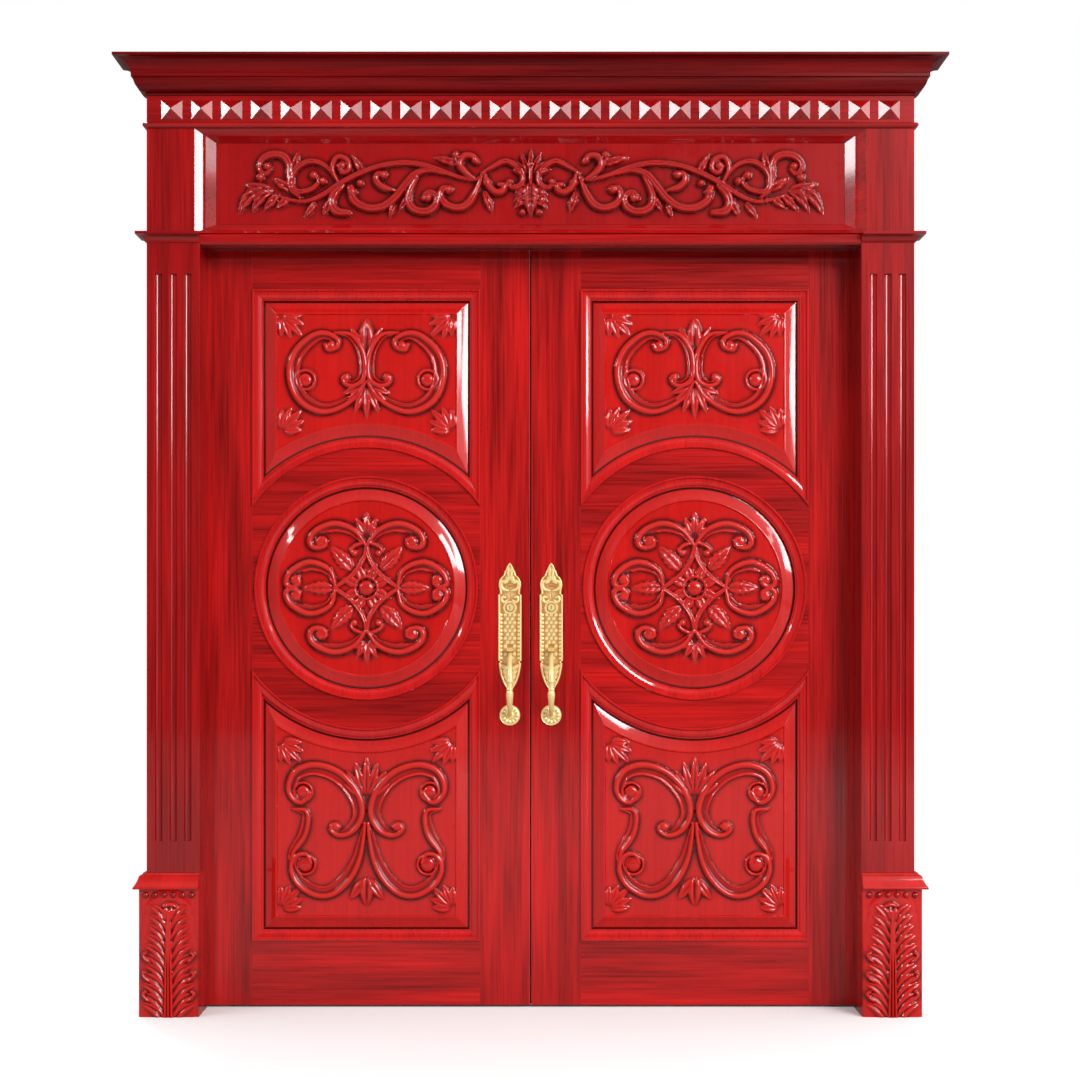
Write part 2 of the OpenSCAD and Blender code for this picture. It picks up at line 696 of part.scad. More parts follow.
// Levels of a raised panel over the leaf's face, and how far each is set in, from the back to the front
set_in = moulding_w + groove_w;
panel_levels = [
    [set_in + bevel_w, -edge_depth - edge_t - back_rise],
    [set_in, -edge_depth - edge_t],
    [panel_gap, -edge_depth - edge_t],
    [panel_gap, -edge_depth],
    [set_in, -edge_depth],
    [set_in + bevel_w, -field_depth]];

// Outline of a panel with one curved side, set in by u at the level z
function arched_loop(height, u, z) = let (
    n = 12,
    half = open_w / 2 - u,
    a = acos(half / (arch_r + u)),
    r = (arch_r + u) / cos((90 - a) / n)
) concat(
    [[-half, height - u, z], [half, height - u, z]],
    [for (i = [0:n]) let (b = a + (180 - 2 * a) * i / n) [
        i == 0 ? half : i == n ? -half : r * cos(b), r * sin(b), z]]);

module arched_body(height) {
    loft([for (l = panel_levels) arched_loop(height, l[0], l[1])]);
}

module round_body() {
    rotate_extrude($fn = 32) polygon(concat([[0, panel_levels[0][1]]],
        [for (l = panel_levels) [medallion_r - l[0], l[1]]], [[0, -field_depth]]));
}

// Places a flat leaf panel on the leaf, with the leaf's face at z 0 and the round panel's centre at 0, 0
module on_leaf(s) {
    on_side(s) translate([leaf_xm, leaf_y0, medallion_z]) rotate([90, 0, 0]) children();
}

// Two facing C scrolls with hooked ends, a bud above and a palmette below
module upper_carving() {
    h = carving_h;
    scroll = [[-2, -30], [-36, -79], [-115, -115], [-186, -86], [-216, -19], [-205, 49], [-156, 98],
        [-115, 107], [-81, 90], [-83, 68], [-107, 60]];
    hook = [[-88, 109], [-43, 103], [-13, 64], [-4, 19], [-9, -23], [-36, -41], [-62, -34], [-66, -17]];
    pair(scroll, 20, h * 0.9, 0.55);
    pair(hook, 17, h, 0.5);
    boss_pair([-175, -30], 20, h * 0.8);
    fan([0, 78], 90, 90, 70, 3, 26, h);
    fan([0, -50], 270, 120, 80, 5, 24, h);
    fan([-222, 152], 315, 80, 68, 3, 20, h * 0.7);
    fan([222, 152], 225, 80, 68, 3, 20, h * 0.7);
    fan([-230, -160], 45, 80, 76, 3, 20, h * 0.7);
    fan([230, -160], 135, 80, 76, 3, 20, h * 0.7);
}

// Four pairs of scrolls round a diamond strap and a flower
module round_carving() {
    h = carving_h;
    top_scroll = [[-2, 122], [-36, 164], [-92, 181], [-145, 160], [-160, 130], [-145, 113], [-118, 118]];
    side_scroll = [[-88, 9], [-103, 51], [-160, 73], [-212, 47], [-226, 13], [-209, 2], [-190, 13]];
    strap = [[0, 118], [8, 80], [40, 36], [88, 4]];
    petals = 6;
    for (m = [0, 1]) mirror([0, m, 0]) {
        pair(top_scroll, 18, h * 0.9, 0.5);
        pair(side_scroll, 18, h * 0.9, 0.5);
        pair(strap, 13, h * 0.7, 0.6);
        lobe_pair([-46, 62], [-88, 118], 26, h * 0.8);
        fan([0, 160], 90, 100, 48, 3, 18, h * 0.8);
    }
    lobe_pair([-100, 0], [-166, 0], 20, h * 0.7);
    for (i = [0:petals - 1]) {
        a = 360 * (i + 0.5) / petals;
        lobe(26 * [cos(a), sin(a)], 56 * [cos(a), sin(a)], 22, h * 0.8);
    }
    boss([0, 0], 20, h * 1.1);
}

// Two tall scrolls joined by an S at each side, with buds above and below
module lower_carving() {
    h = carving_h;
    upper_scroll = [[-160, 105], [-179, 79], [-205, 86], [-220, 120], [-201, 165], [-149, 184], [-88, 169],
        [-43, 132], [-17, 86], [-13, 41], [-36, 0], [-73, -15], [-100, 0], [-92, 17]];
    side_curve = [[-205, 60], [-171, 56], [-164, 26], [-175, -19], [-205, -60], [-214, -94]];
    lower_scroll = [[-156, -90], [-167, -68], [-197, -71], [-212, -105], [-194, -150], [-145, -182],
        [-96, -180], [-51, -143], [-21, -86], [-8, -19]];
    pair(upper_scroll, 20, h * 0.9, 0.6);
    pair(side_curve, 15, h * 0.8, 0.5);
    pair(lower_scroll, 18, h * 0.9, 0.6);
    boss_pair([-178, 103], 19, h * 0.8);
    boss_pair([-176, -91], 19, h * 0.8);
    fan([0, 112], 90, 80, 84, 3, 26, h);
    fan([0, -150], 270, 90, 60, 3, 24, h);
    fan([-236, 246], 315, 80, 60, 3, 18, h * 0.7);
    fan([236, 246], 225, 80, 60, 3, 18, h * 0.7);
    fan([-236, -216], 45, 80, 76, 3, 20, h * 0.7);
    fan([236, -216], 135, 80, 76, 3, 20, h * 0.7);
}

// Width and height of each raised field on its axis, and of the field that its carving is drawn for
field_set = set_in + bevel_w;
field_w = open_w - 2 * field_set;
upper_field = upper_z1 - medallion_z - arch_r - 2 * field_set;
lower_field = medallion_z - arch_r - lower_z0 - 2 * field_set;
drawn_w = 504;
upper_drawn = 308;
lower_drawn = 460;
round_drawn = 246;
frieze_drawn = [1736, 225];
upper_mid = (upper_z1 - medallion_z + arch_r) / 2;
lower_mid = (lower_z0 - medallion_z - arch_r) / 2;
upper_drop = 7;
lower_lift = 11;

module upper_panel(s) {
    color(CARVED) on_leaf(s) union() {
        arched_body(upper_z1 - medallion_z);
        translate([0, upper_mid - upper_drop, -field_depth])
            scale([field_w / drawn_w, upper_field / upper_drawn, 1]) upper_carving();
    }
}

module round_panel(s) {
    round_scale = (medallion_r - field_set) / round_drawn;
    color(CARVED) on_leaf(s) union() {
        round_body();
        translate([0, 0, -field_depth]) scale([round_scale, round_scale, 1]) round_carving();
    }
}

module lower_panel(s) {
    color(CARVED) on_leaf(s) union() {
        mirror([0, 1, 0]) arched_body(medallion_z - lower_z0);
        translate([0, lower_mid + lower_lift, -field_depth])
            scale([field_w / drawn_w, lower_field / lower_drawn, 1]) lower_carving();
    }
}

// Knuckles from number first on, every second one
module hinge_knuckles(first) {
    l = hinge_len / knuckles;
    for (i = [first:2:knuckles - 1])
        translate([hinge_x, hinge_y, -hinge_len / 2 + i * l + knuckle_gap / 2])
            cylinder(h = l - knuckle_gap, r = knuckle_r, $fn = 48);
}

// One half of a butt hinge: a plate let into the wood and its knuckles
module hinge_half(x0, x1, first) {
    l = hinge_len / knuckles;
    difference() {
        union() {
            box(x0, x1, leaf_y1 - plate_w, plate_y1, -hinge_len / 2, hinge_len / 2);
            for (i = [first:2:knuckles - 1])
                box(x0, x1, plate_y1 - 1, hinge_y, -hinge_len / 2 + i * l + knuckle_gap / 2,
                    -hinge_len / 2 + (i + 1) * l - knuckle_gap / 2);
            hinge_knuckles(first);
        }
        translate([hinge_x, hinge_y, -hinge_len]) cylinder(h = 2 * hinge_len, r = pin_r + pin_gap, $fn = 48);
    }
}

module frame_hinge_plates() {
    color(BRASS) for (s = [-1, 1]) for (z = hinge_z)
        on_side(s) translate([0, 0, z]) hinge_half(rebate_x, rebate_x + hinge_plate_t, 0);
}

module leaf_hinge_plates(s) {
    color(BRASS) on_side(s) for (z = hinge_z)
        translate([0, 0, z]) hinge_half(leaf_x1 - hinge_plate_t, leaf_x1, 1);
}

// Pins with a round head that rests on the top knuckle
module hinge_pins() {
    head_h = 5;
    color(BRASS) for (s = [-1, 1]) for (z = hinge_z) on_side(s) translate([hinge_x, hinge_y, z]) {
        translate([0, 0, -hinge_len / 2 - 2]) cylinder(h = hinge_len + 4, r = pin_r, $fn = 48);
        translate([0, 0, hinge_len / 2]) cylinder(h = head_h, r = knuckle_r - 1, $fn = 48);
    }
}

// Outline of the handle plate: finial, round head, notched body and tapered foot
module handle_outline() {
    w = handle_w;
    body_z0 = 78;
    body_z1 = 262;
    head_z = 290;
    finial_z = 351;
    notch = 4;
    translate([-w / 2, body_z0]) square([w, body_z1 - body_z0]);
    translate([-w / 2 + notch, body_z0 - 8]) square([w - 2 * notch, body_z1 - body_z0 + 30]);
    translate([0, head_z]) circle(w / 2 - 1, $fn = 48);
    polygon([[-18, head_z + 22], [18, head_z + 22], [9, head_z + 44], [0, finial_z], [-9, head_z + 44]]);
    polygon([[-w / 2 + 1, body_z0 - 6], [w / 2 - 1, body_z0 - 6], [w / 2 - 6, 46], [15, 14], [11, 0],
        [-11, 0], [-15, 14], [-w / 2 + 6, 46]]);
}

lug_x = thumb_slot[0] / 2 - 4;
pivot_r = 2.5;
pivot_y = leaf_y0 + 5;

// Plate on the leaf's face, with a key hole, a thumb slot and two lugs that carry the thumb piece
module handle_plate(s) {
    slot_h = 22;
    color(BRASS) on_side(s) difference() {
        union() {
            translate([handle_x, leaf_y0, handle_z]) rotate([90, 0, 0]) linear_extrude(handle_t)
                handle_outline();
            for (e = [-1, 1])
                box(handle_x + e * (lug_x + 1.5) - 1.5, handle_x + e * (lug_x + 1.5) + 1.5,
                    leaf_y0 - 1, pivot_y + 5, latch_z - 5, latch_z + 5);
        }
        translate([handle_x, leaf_y0 - handle_t - 1, key_z]) rotate([-90, 0, 0])
            cylinder(h = handle_t + 2, r = key_r + pin_gap, $fn = 48);
        box(handle_x - lug_x, handle_x + lug_x, leaf_y0 - handle_t - 1, leaf_y0 + 1,
            latch_z - slot_h / 2, latch_z + slot_h / 2);
        translate([handle_x - thumb_slot[0], pivot_y, latch_z]) rotate([0, 90, 0])
            cylinder(h = 2 * thumb_slot[0], r = pivot_r + pin_gap, $fn = 32);
    }
}

// Bowed bar: an arm out of the plate, a turned middle with a swell, and an arm back to the rosette
module grip_bar(plate_sink = 0) {
    bend = 24;
    top_z = grip_z1 - handle_z;
    low_z = grip_z0 - handle_z;
    arm = grip_reach - bend;
    out = handle_t + arm;
    length = top_z - low_z - 2 * bend;
    turned = 12;
    swell = 3.5;
    translate([0, plate_sink - handle_t, top_z]) rotate([90, 0, 0])
        cylinder(h = arm + plate_sink, r = grip_r, $fn = 40);
    translate([0, -out, top_z - bend]) rotate([180, -90, 0])
        rotate_extrude(angle = 90, $fn = 48) translate([bend, 0]) circle(grip_r, $fn = 40);
    translate([0, -out - bend, low_z + bend]) rotate_extrude($fn = 40) polygon(concat([[0, 0]],
        [for (i = [0:turned]) [grip_r + swell * pow(sin(180 * i / turned), 2), length * i / turned]],
        [[0, length]]));
    translate([0, -out, low_z + bend]) rotate([0, 90, 0]) rotate([0, 0, -90])
        rotate_extrude(angle = 90, $fn = 48) translate([bend, 0]) circle(grip_r, $fn = 40);
    translate([0, -out, low_z]) rotate([-90, 0, 0]) cylinder(h = out - rosette_t / 2, r = grip_r, $fn = 40);
    translate([0, 0, low_z]) rotate([90, 0, 0]) rotate_extrude($fn = 48) polygon([
        [0, 0], [rosette_r, 0], [rosette_r, rosette_t * 0.4], [rosette_r - 3, rosette_t * 0.7],
        [rosette_r * 0.6, rosette_t * 0.7], [rosette_r * 0.5, rosette_t], [0, rosette_t]]);
}

module pull_grip(s) {
    color(BRASS) on_side(s) translate([handle_x, leaf_y0, handle_z]) grip_bar();
}

// Plate and grip of one casting on the room side
module inside_handle(s) {
    color(BRASS) on_side(s) translate([handle_x, leaf_y1, handle_z]) mirror([0, 1, 0]) {
        rotate([90, 0, 0]) linear_extrude(handle_t) handle_outline();
        grip_bar(handle_t / 2);
    }
}

// Thumb tab with its pivot pin, drawn pressed down
module thumb_piece(s) {
    half = lug_x - slide_gap;
    tail = 9;
    reach = 35;
    color(BRASS) on_side(s) translate([handle_x, pivot_y, latch_z]) {
        translate([-half, 0, 0]) rotate([90, 0, 90]) linear_extrude(2 * half) polygon([
            [tail, 3], [tail, -3], [-4, -3], [-reach * 0.6, -6], [-reach + 3, -8],
            [-reach, -7], [-reach, -4], [-reach * 0.85, -3], [-reach * 0.5, -1], [-4, 3]]);
        translate([-lug_x - 3, 0, 0]) rotate([0, 90, 0]) cylinder(h = 2 * lug_x + 6, r = pivot_r, $fn = 32);
    }
}

// Key cylinder with its slot; the passive leaf's one ends behind the plate
module key_cylinder(s) {
    rim = 5;
    tail = s > 0 ? leaf_ym - lock_t / 2 - leaf_y0 - slide_gap : 0;
    color(BRASS) on_side(s) difference() {
        translate([handle_x, leaf_y0 - handle_t - rim, key_z]) rotate([-90, 0, 0])
            cylinder(h = handle_t + rim + tail, r = key_r, $fn = 48);
        box(handle_x - 1, handle_x + 1, leaf_y0 - handle_t - rim - 1, leaf_y0 - handle_t,
            key_z - key_r * 0.6, key_z + key_r * 0.6);
    }
}

bolt_half = [7, 12];
bolt_len = 40;

// Case with its face plate, in a pocket of the active leaf's meeting stile
module lock_case() {
    y0 = leaf_ym - lock_t / 2;
    color(STEEL) difference() {
        union() {
            box(leaf_x0 + face_t / 2, leaf_x0 + lock_depth, y0, y0 + lock_t, lock_z0 + 12, lock_z1 - 12);
            box(leaf_x0, leaf_x0 + face_t, leaf_ym - face_w / 2, leaf_ym + face_w / 2, lock_z0, lock_z1);
        }
        for (z = [latch_z, key_z])
            box(leaf_x0 - 1, leaf_x0 + bolt_len + 1, leaf_ym - bolt_half[0] - slide_gap,
                leaf_ym + bolt_half[0] + slide_gap,
                z - bolt_half[1] - slide_gap, z + bolt_half[1] + slide_gap);
    }
}

// Latch bolt with a bevelled nose, drawn back into the case
module latch_bolt() {
    nose = 9;
    color(STEEL) translate([0, 0, latch_z - bolt_half[1]]) linear_extrude(2 * bolt_half[1]) polygon([
        [leaf_x0 + 0.5, leaf_ym + bolt_half[0]], [leaf_x0 + bolt_len, leaf_ym + bolt_half[0]],
        [leaf_x0 + bolt_len, leaf_ym - bolt_half[0]], [leaf_x0 + nose, leaf_ym - bolt_half[0]]]);
}

module dead_bolt() {
    color(STEEL) box(leaf_x0 + 0.5, leaf_x0 + bolt_len, leaf_ym - bolt_half[0], leaf_ym + bolt_half[0],
        key_z - bolt_half[1], key_z + bolt_half[1]);
}

// Strike plate in the passive leaf's edge
module strike_plate() {
    color(STEEL) on_side(-1) difference() {
        box(leaf_x0, leaf_x0 + face_t, leaf_ym - face_w / 2, leaf_ym + face_w / 2, lock_z0, lock_z1);
        for (z = [latch_z, key_z])
            box(leaf_x0 - 1, leaf_x0 + face_t + 1, leaf_ym - bolt_half[0] - 1, leaf_ym + bolt_half[0] + 1,
                z - bolt_half[1] - 2, z + bolt_half[1] + 2);
    }
}

// Round bolt in the passive leaf's meeting stile, with a finger knob in the leaf's edge
module flush_bolt(z0, z_knob) {
    color(STEEL) on_side(-1) union() {
        translate([flush_x, leaf_ym, z0]) cylinder(h = flush_len, r = flush_r, $fn = 48);
        box(leaf_x0 + 1, flush_x, leaf_ym - 3, leaf_ym + 3, z_knob - 8, z_knob + 8);
    }
}

module top_flush_bolt() {
    flush_bolt(leaf_z1 - flush_len - 1, leaf_z1 - knob_z);
}

module bottom_flush_bolt() {
    flush_bolt(leaf_z0 + 1, leaf_z0 + knob_z);
}

module head_strike() {
    color(STEEL) on_side(-1) difference() {
        box(flush_x - strike_len / 2, flush_x + strike_len / 2, leaf_ym - face_w / 2, leaf_ym + face_w / 2,
            rebate_z, rebate_z + face_t);
        translate([flush_x, leaf_ym, rebate_z - 1]) cylinder(h = face_t + 2, r = flush_r + 1, $fn = 32);
    }
}

jamb(-1);  // left_jamb
jamb(1);  // right_jamb
head_jamb();
pilaster(-1);  // left_pilaster
pilaster(1);  // right_pilaster
capital(-1);  // left_capital
capital(1);  // right_capital
plinth(-1);  // left_plinth
plinth(1);  // right_plinth
frieze_block(-1);  // left_frieze_block
frieze_block(1);  // right_frieze_block
header_backboard();
frieze_frame();
frieze_panel();
transom_moulding();
astragal_moulding();
stud_band();
nailhead_studs();
cornice();
frame_hinge_plates();
hinge_pins();
head_strike();
hinge_stile(-1);  // left_hinge_stile
meeting_stile(-1);  // left_meeting_stile
top_rail(-1);  // left_top_rail
bottom_rail(-1);  // left_bottom_rail
arch_rail(-1, true);  // left_upper_arch_rail
arch_rail(-1, false);  // left_lower_arch_rail
upper_panel(-1);  // left_upper_panel
round_panel(-1);  // left_round_panel
lower_panel(-1);  // left_lower_panel
panel_mouldings(-1);  // left_panel_mouldings
leaf_hinge_plates(-1);  // left_hinge_plates
handle_plate(-1);  // left_handle_plate
pull_grip(-1);  // left_pull_grip
thumb_piece(-1);  // left_thumb_piece
key_cylinder(-1);  // left_key_cylinder
inside_handle(-1);  // left_inside_handle
hinge_stile(1);  // right_hinge_stile
meeting_stile(1);  // right_meeting_stile
top_rail(1);  // right_top_rail
bottom_rail(1);  // right_bottom_rail
arch_rail(1, true);  // right_upper_arch_rail
arch_rail(1, false);  // right_lower_arch_rail
upper_panel(1);  // right_upper_panel
round_panel(1);  // right_round_panel
lower_panel(1);  // right_lower_panel
panel_mouldings(1);  // right_panel_mouldings
leaf_hinge_plates(1);  // right_hinge_plates
handle_plate(1);  // right_handle_plate
pull_grip(1);  // right_pull_grip
thumb_piece(1);  // right_thumb_piece
key_cylinder(1);  // right_key_cylinder
inside_handle(1);  // right_inside_handle
lock_case();
latch_bolt();
dead_bolt();
strike_plate();
top_flush_bolt();
bottom_flush_bolt();
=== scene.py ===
"""Carved red double door in its classical surround: carving, brass furniture and finishes."""
import math

import bmesh
import bpy
import numpy as np
from mathutils import Matrix, Quaternion, Vector


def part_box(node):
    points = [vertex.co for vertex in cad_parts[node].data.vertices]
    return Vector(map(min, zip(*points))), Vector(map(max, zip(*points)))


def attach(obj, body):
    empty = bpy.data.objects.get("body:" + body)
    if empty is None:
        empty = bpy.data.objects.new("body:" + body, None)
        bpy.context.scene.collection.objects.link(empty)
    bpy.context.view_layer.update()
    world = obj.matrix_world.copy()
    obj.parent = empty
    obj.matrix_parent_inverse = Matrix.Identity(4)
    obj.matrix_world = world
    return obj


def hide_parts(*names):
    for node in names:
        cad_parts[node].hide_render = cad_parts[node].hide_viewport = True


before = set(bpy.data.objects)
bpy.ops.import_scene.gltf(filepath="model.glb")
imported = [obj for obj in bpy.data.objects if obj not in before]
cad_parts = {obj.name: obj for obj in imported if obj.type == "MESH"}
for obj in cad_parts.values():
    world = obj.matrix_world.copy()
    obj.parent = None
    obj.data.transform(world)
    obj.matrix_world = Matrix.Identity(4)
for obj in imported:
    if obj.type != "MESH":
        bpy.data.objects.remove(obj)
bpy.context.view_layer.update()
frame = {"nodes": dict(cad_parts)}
MM = 0.001

bl_info = {
    "name": "Carved Double Door",
    "version": (1, 0, 0),
    "blender": (4, 5, 0),
    "location": "3D View > Sidebar > Door",
    "description": "Carved panels, brass furniture and finishes for a double door in its frame",
    "category": "Object",
}


def linear(code):
    """A colour written as sRGB hex, as linear red, green and blue."""
    parts = [int(code[i:i + 2], 16) / 255 for i in (1, 3, 5)]
    return [c / 12.92 if c <= 0.04045 else ((c + 0.055) / 1.055) ** 2.4 for c in parts]


def colour_property(name, description, code):
    """A colour that a user would change, with its default as hex."""
    return bpy.props.FloatVectorProperty(
        name=name, description=description, subtype="COLOR", size=3, min=0, max=1, default=linear(code))


def length_property(name, description, mm):
    """A length that a user would change, with its default in millimetres."""
    return bpy.props.FloatProperty(
        name=name, description=description, unit="LENGTH", subtype="DISTANCE", min=0, default=mm * MM)


class DoorFinishColours(bpy.types.PropertyGroup):
    """Colours of the timber and the metals."""
    leaf: colour_property("Leaf red", "Stained timber of the stiles and rails", "#CC1210")
    leaf_streak: colour_property("Leaf streak", "Darker grain streaks in the leaves", "#780405")
    frame: colour_property("Frame red", "Stained timber of the surround", "#AE0B0D")
    frame_streak: colour_property("Frame streak", "Darker grain streaks in the surround", "#740304")
    # The cornice's reds are the surround's timber painted darker: painted shade, as if less light reached the
    # top.
    cornice: colour_property("Cornice red", "Deeper stain of the cornice", "#800507")
    shaded_cornice_streak: colour_property("Cornice streak", "Darker grain streaks in the cornice", "#4C0203")
    # The frieze's red is the surround's timber painted darker: painted shade against the strong light on it.
    frieze: colour_property("Frieze red", "Deeper stain of the carved frieze", "#9E080A")
    carved: colour_property("Panel red", "Brighter stain of the carved fields", "#C4100B")
    # Stain pooled in the carving's cuts, with painted shade laid over it there and in the margins round the
    # panels.
    carved_stain_and_shade: colour_property("Panel recess", "Stain pooled beside and between the carving", "#480204")
    worn: colour_property("Edge", "Stain rubbed thinner on the edges", "#D63A2C")
    brass: colour_property("Brass", "Polished faces of the cast brass", "#FFE8A2")
    brass_low: colour_property("Brass recess", "Tarnish left in the hollows of the casting", "#B0640A")
    steel: colour_property("Steel", "Brushed steel of the lock and bolts", "#B4B6B8")
    seal: colour_property("Seal", "Rubber of the seal between the leaves", "#2A0A0A")
    floor: colour_property("Floor", "Plain studio floor", "#F4F4F4")


class DoorCarvingSizes(bpy.types.PropertyGroup):
    """Sizes of the carved relief."""
    panel_relief: length_property("Panel relief", "Height of the carving above a leaf panel's field", 11)
    frieze_relief: length_property("Frieze relief", "Height of the carving above the frieze", 22)
    plinth_relief: length_property("Plinth relief", "Height of the leaves on a plinth", 12)
    grid: length_property("Grid", "Spacing of the relief's points", 2.3)


class DoorFurnitureSizes(bpy.types.PropertyGroup):
    """Sizes of the repeated and cast pieces."""
    stud_width: length_property("Stud width", "Width of a pyramid stud", 58)
    stud_height: length_property("Stud height", "Height of a pyramid stud", 52)
    stud_proud: length_property("Stud depth", "How far a stud's point stands off its band", 18)
    stud_pitch: length_property("Stud pitch", "Distance between stud centres", 82)
    studs: bpy.props.IntProperty(name="Studs", description="Pyramid studs in the row", default=25, min=1)
    bead_radius: length_property("Bead radius", "Radius of a bead on a plinth", 9.5)
    screw_radius: length_property("Screw radius", "Radius of a countersunk screw head", 4.2)
    plate_relief: length_property("Plate relief", "Depth of the ornament cast in a handle plate", 2.0)


def power_property(name, description, watts):
    """A lamp's power that a user would change."""
    return bpy.props.FloatProperty(name=name, description=description, subtype="POWER", min=0, default=watts)


class DoorStageSizes(bpy.types.PropertyGroup):
    """Lamps of the studio."""
    fill: bpy.props.FloatProperty(name="Fill", description="Strength of the even light", default=0.95, min=0)
    right_lamp: power_property("Right lamps", "Power of each tall lamp on the right", 350)
    left_lamp: power_property("Left lamp", "Power of the long lamp on the left", 165)
    back_lamp: power_property("Back lamp", "Power of the lamp behind the door", 240)


def add_node(tree, kind, settings=None, inputs=None):
    """Adds a node. An input takes a plain value or another node's output."""
    node = tree.nodes.new(kind)
    for key, value in (settings or {}).items():
        setattr(node, key, value)
    for key, value in (inputs or {}).items():
        if isinstance(value, bpy.types.NodeSocket):
            tree.links.new(value, node.inputs[key])
        else:
            node.inputs[key].default_value = value
    return node


def new_material(name):
    """An empty material and the tree to build in."""
    material = bpy.data.materials.new(name)
    material.use_nodes = True
    material.node_tree.nodes.clear()
    return material, material.node_tree


def close_material(tree, shader):
    """Ends a tree in the material output."""
    add_node(tree, "ShaderNodeOutputMaterial", inputs={"Surface": shader.outputs[0]})


def rgba(colour):
    """A property's colour with full alpha."""
    return (colour[0], colour[1], colour[2], 1.0)


def own_place(tree):
    """Places on a piece, in its own frame."""
    return add_node(tree, "ShaderNodeTexCoord").outputs["Object"]


def noise(tree, place, sizes, detail, roughness=0.5):
    """A noise whose blotches have a size in millimetres along each axis."""
    scaled = add_node(tree, "ShaderNodeMapping", inputs={
        "Vector": place, "Scale": [1 / (size * MM) for size in sizes]})
    return add_node(tree, "ShaderNodeTexNoise", inputs={
        "Vector": scaled.outputs[0], "Scale": 1.0, "Detail": detail, "Roughness": roughness}).outputs[0]


def ramp(tree, value, low, high, at_low=0.0, at_high=1.0):
    """A value between low and high, spread over another range and held at its ends."""
    return add_node(tree, "ShaderNodeMapRange", inputs={
        0: value, 1: low, 2: high, 3: at_low, 4: at_high}).outputs[0]


def scaled_sum(tree, value, factor, more, clamp=False):
    """A value times a factor, plus another value."""
    return add_node(tree, "ShaderNodeMath", {"operation": "MULTIPLY_ADD", "use_clamp": clamp}, {
        0: value, 1: factor, 2: more}).outputs[0]


def blend(tree, share, first, second):
    """Two colours, mixed by a share from 0 to 1."""
    return add_node(tree, "ShaderNodeMix", {"data_type": "RGBA"}, {
        0: share, 6: first, 7: second}).outputs[2]


def close_surface(tree, tint, gloss, bump, more=None):
    """Ends a tree in a surface with a tint, a roughness and the inputs of its bump."""
    relief = add_node(tree, "ShaderNodeBump", inputs=bump)
    close_material(tree, add_node(tree, "ShaderNodeBsdfPrincipled", inputs={
        "Base Color": tint, "Roughness": gloss, "Normal": relief.outputs[0], **(more or {})}))


def lacquer(coat=1.0):
    """Shader inputs of timber under polished clear lacquer, with the weight of its coat."""
    return {"IOR": 1.45, "Specular IOR Level": 0.15, "Coat Weight": coat, "Coat Roughness": 0.06}


def lacquered_hardwood(tree, grain, body, streak, worn, coat=1.0):
    """Red-stained hardwood under polished clear lacquer.

    The eye sees long dark streaks about 6 mm wide, slow ribbons about 60 mm wide, short open pores
    under the gloss, and edges rubbed a little paler. grain is the axis that the fibres follow, and
    coat the weight of the lacquer."""
    place = own_place(tree)

    def along(width, length):
        """A noise whose blotches are width across the grain and length along it, in millimetres."""
        return noise(tree, place, [length if axis == grain else width for axis in "XYZ"], 3.0, 0.55)

    ribbon = along(60, 900)
    fibre = along(6, 260)
    # Real pores are 0.2 mm wide; they are drawn 1.6 mm wide so that they show.
    pore = along(1.6, 24)
    broad = scaled_sum(tree, ramp(tree, ribbon, 0.38, 0.66), 0.6, 0.0)
    both = scaled_sum(tree, ramp(tree, fibre, 0.36, 0.68), 0.4, broad)
    stain = blend(tree, both, rgba(streak), rgba(body))
    open_pore = ramp(tree, pore, 0.62, 0.74, 0.0, 0.22)
    pored = blend(tree, open_pore, stain, rgba([c * 0.55 for c in streak]))
    round_edge = add_node(tree, "ShaderNodeBevel", {"samples": 4}, {"Radius": 2.0 * MM}).outputs[0]
    flat = add_node(tree, "ShaderNodeNewGeometry").outputs["Normal"]
    same = add_node(tree, "ShaderNodeVectorMath", {"operation": "DOT_PRODUCT"}, {0: round_edge, 1: flat})
    rubbed = ramp(tree, same.outputs["Value"], 0.97, 0.75, 0.0, 0.3)
    tint = blend(tree, rubbed, pored, rgba(worn))
    close_surface(tree, tint, ramp(tree, fibre, 0.3, 0.7, 0.24, 0.36), {
        "Strength": 0.25, "Distance": 0.4 * MM, "Height": fibre, "Normal": round_edge}, lacquer(coat))


def carved_hardwood(tree, body, low, worn):
    """The same stained hardwood, carved by hand and lacquered.

    The eye sees a bright ground, the cuts dark with pooled stain and painted shade, and paler tops where it
    was rubbed back.
    The attribute cut is 0 on rubbed tops, 0.5 on the ground and 1 in the cuts."""
    place = own_place(tree)
    cut = add_node(tree, "ShaderNodeAttribute", {"attribute_name": "cut"}).outputs["Fac"]
    fibre = noise(tree, place, (9, 9, 200), 4.0, 0.6)
    blotch = noise(tree, place, (90, 90, 90), 2.0)
    # The blank is glued up from boards about 58 mm wide, each of its own tone.
    across = add_node(tree, "ShaderNodeSeparateXYZ", inputs={0: place}).outputs["X"]
    number = add_node(tree, "ShaderNodeMath", {"operation": "FLOOR"}, {
        0: scaled_sum(tree, across, 1 / (58 * MM), 0.37)})
    board = add_node(tree, "ShaderNodeTexWhiteNoise", {"noise_dimensions": "1D"}, {"W": number.outputs[0]})
    grain = ramp(tree, fibre, 0.35, 0.7, 0.0, 0.35)
    tone = scaled_sum(tree, board.outputs["Value"], 0.3, grain, clamp=True)
    ground = blend(tree, tone, rgba(body), rgba([0.5 * a + 0.5 * b for a, b in zip(body, low)]))
    # Pooled stain and painted shade darken the cuts and the margins round the panels.
    stained = blend(tree, ramp(tree, cut, 0.52, 0.95, 0.0, 0.95), ground, rgba(low))
    tint = blend(tree, ramp(tree, cut, 0.45, 0.0, 0.0, 0.28), stained, rgba(worn))
    close_surface(tree, tint, ramp(tree, blotch, 0.3, 0.7, 0.24, 0.36), {
        "Strength": 0.3, "Distance": 0.5 * MM, "Height": fibre}, lacquer())


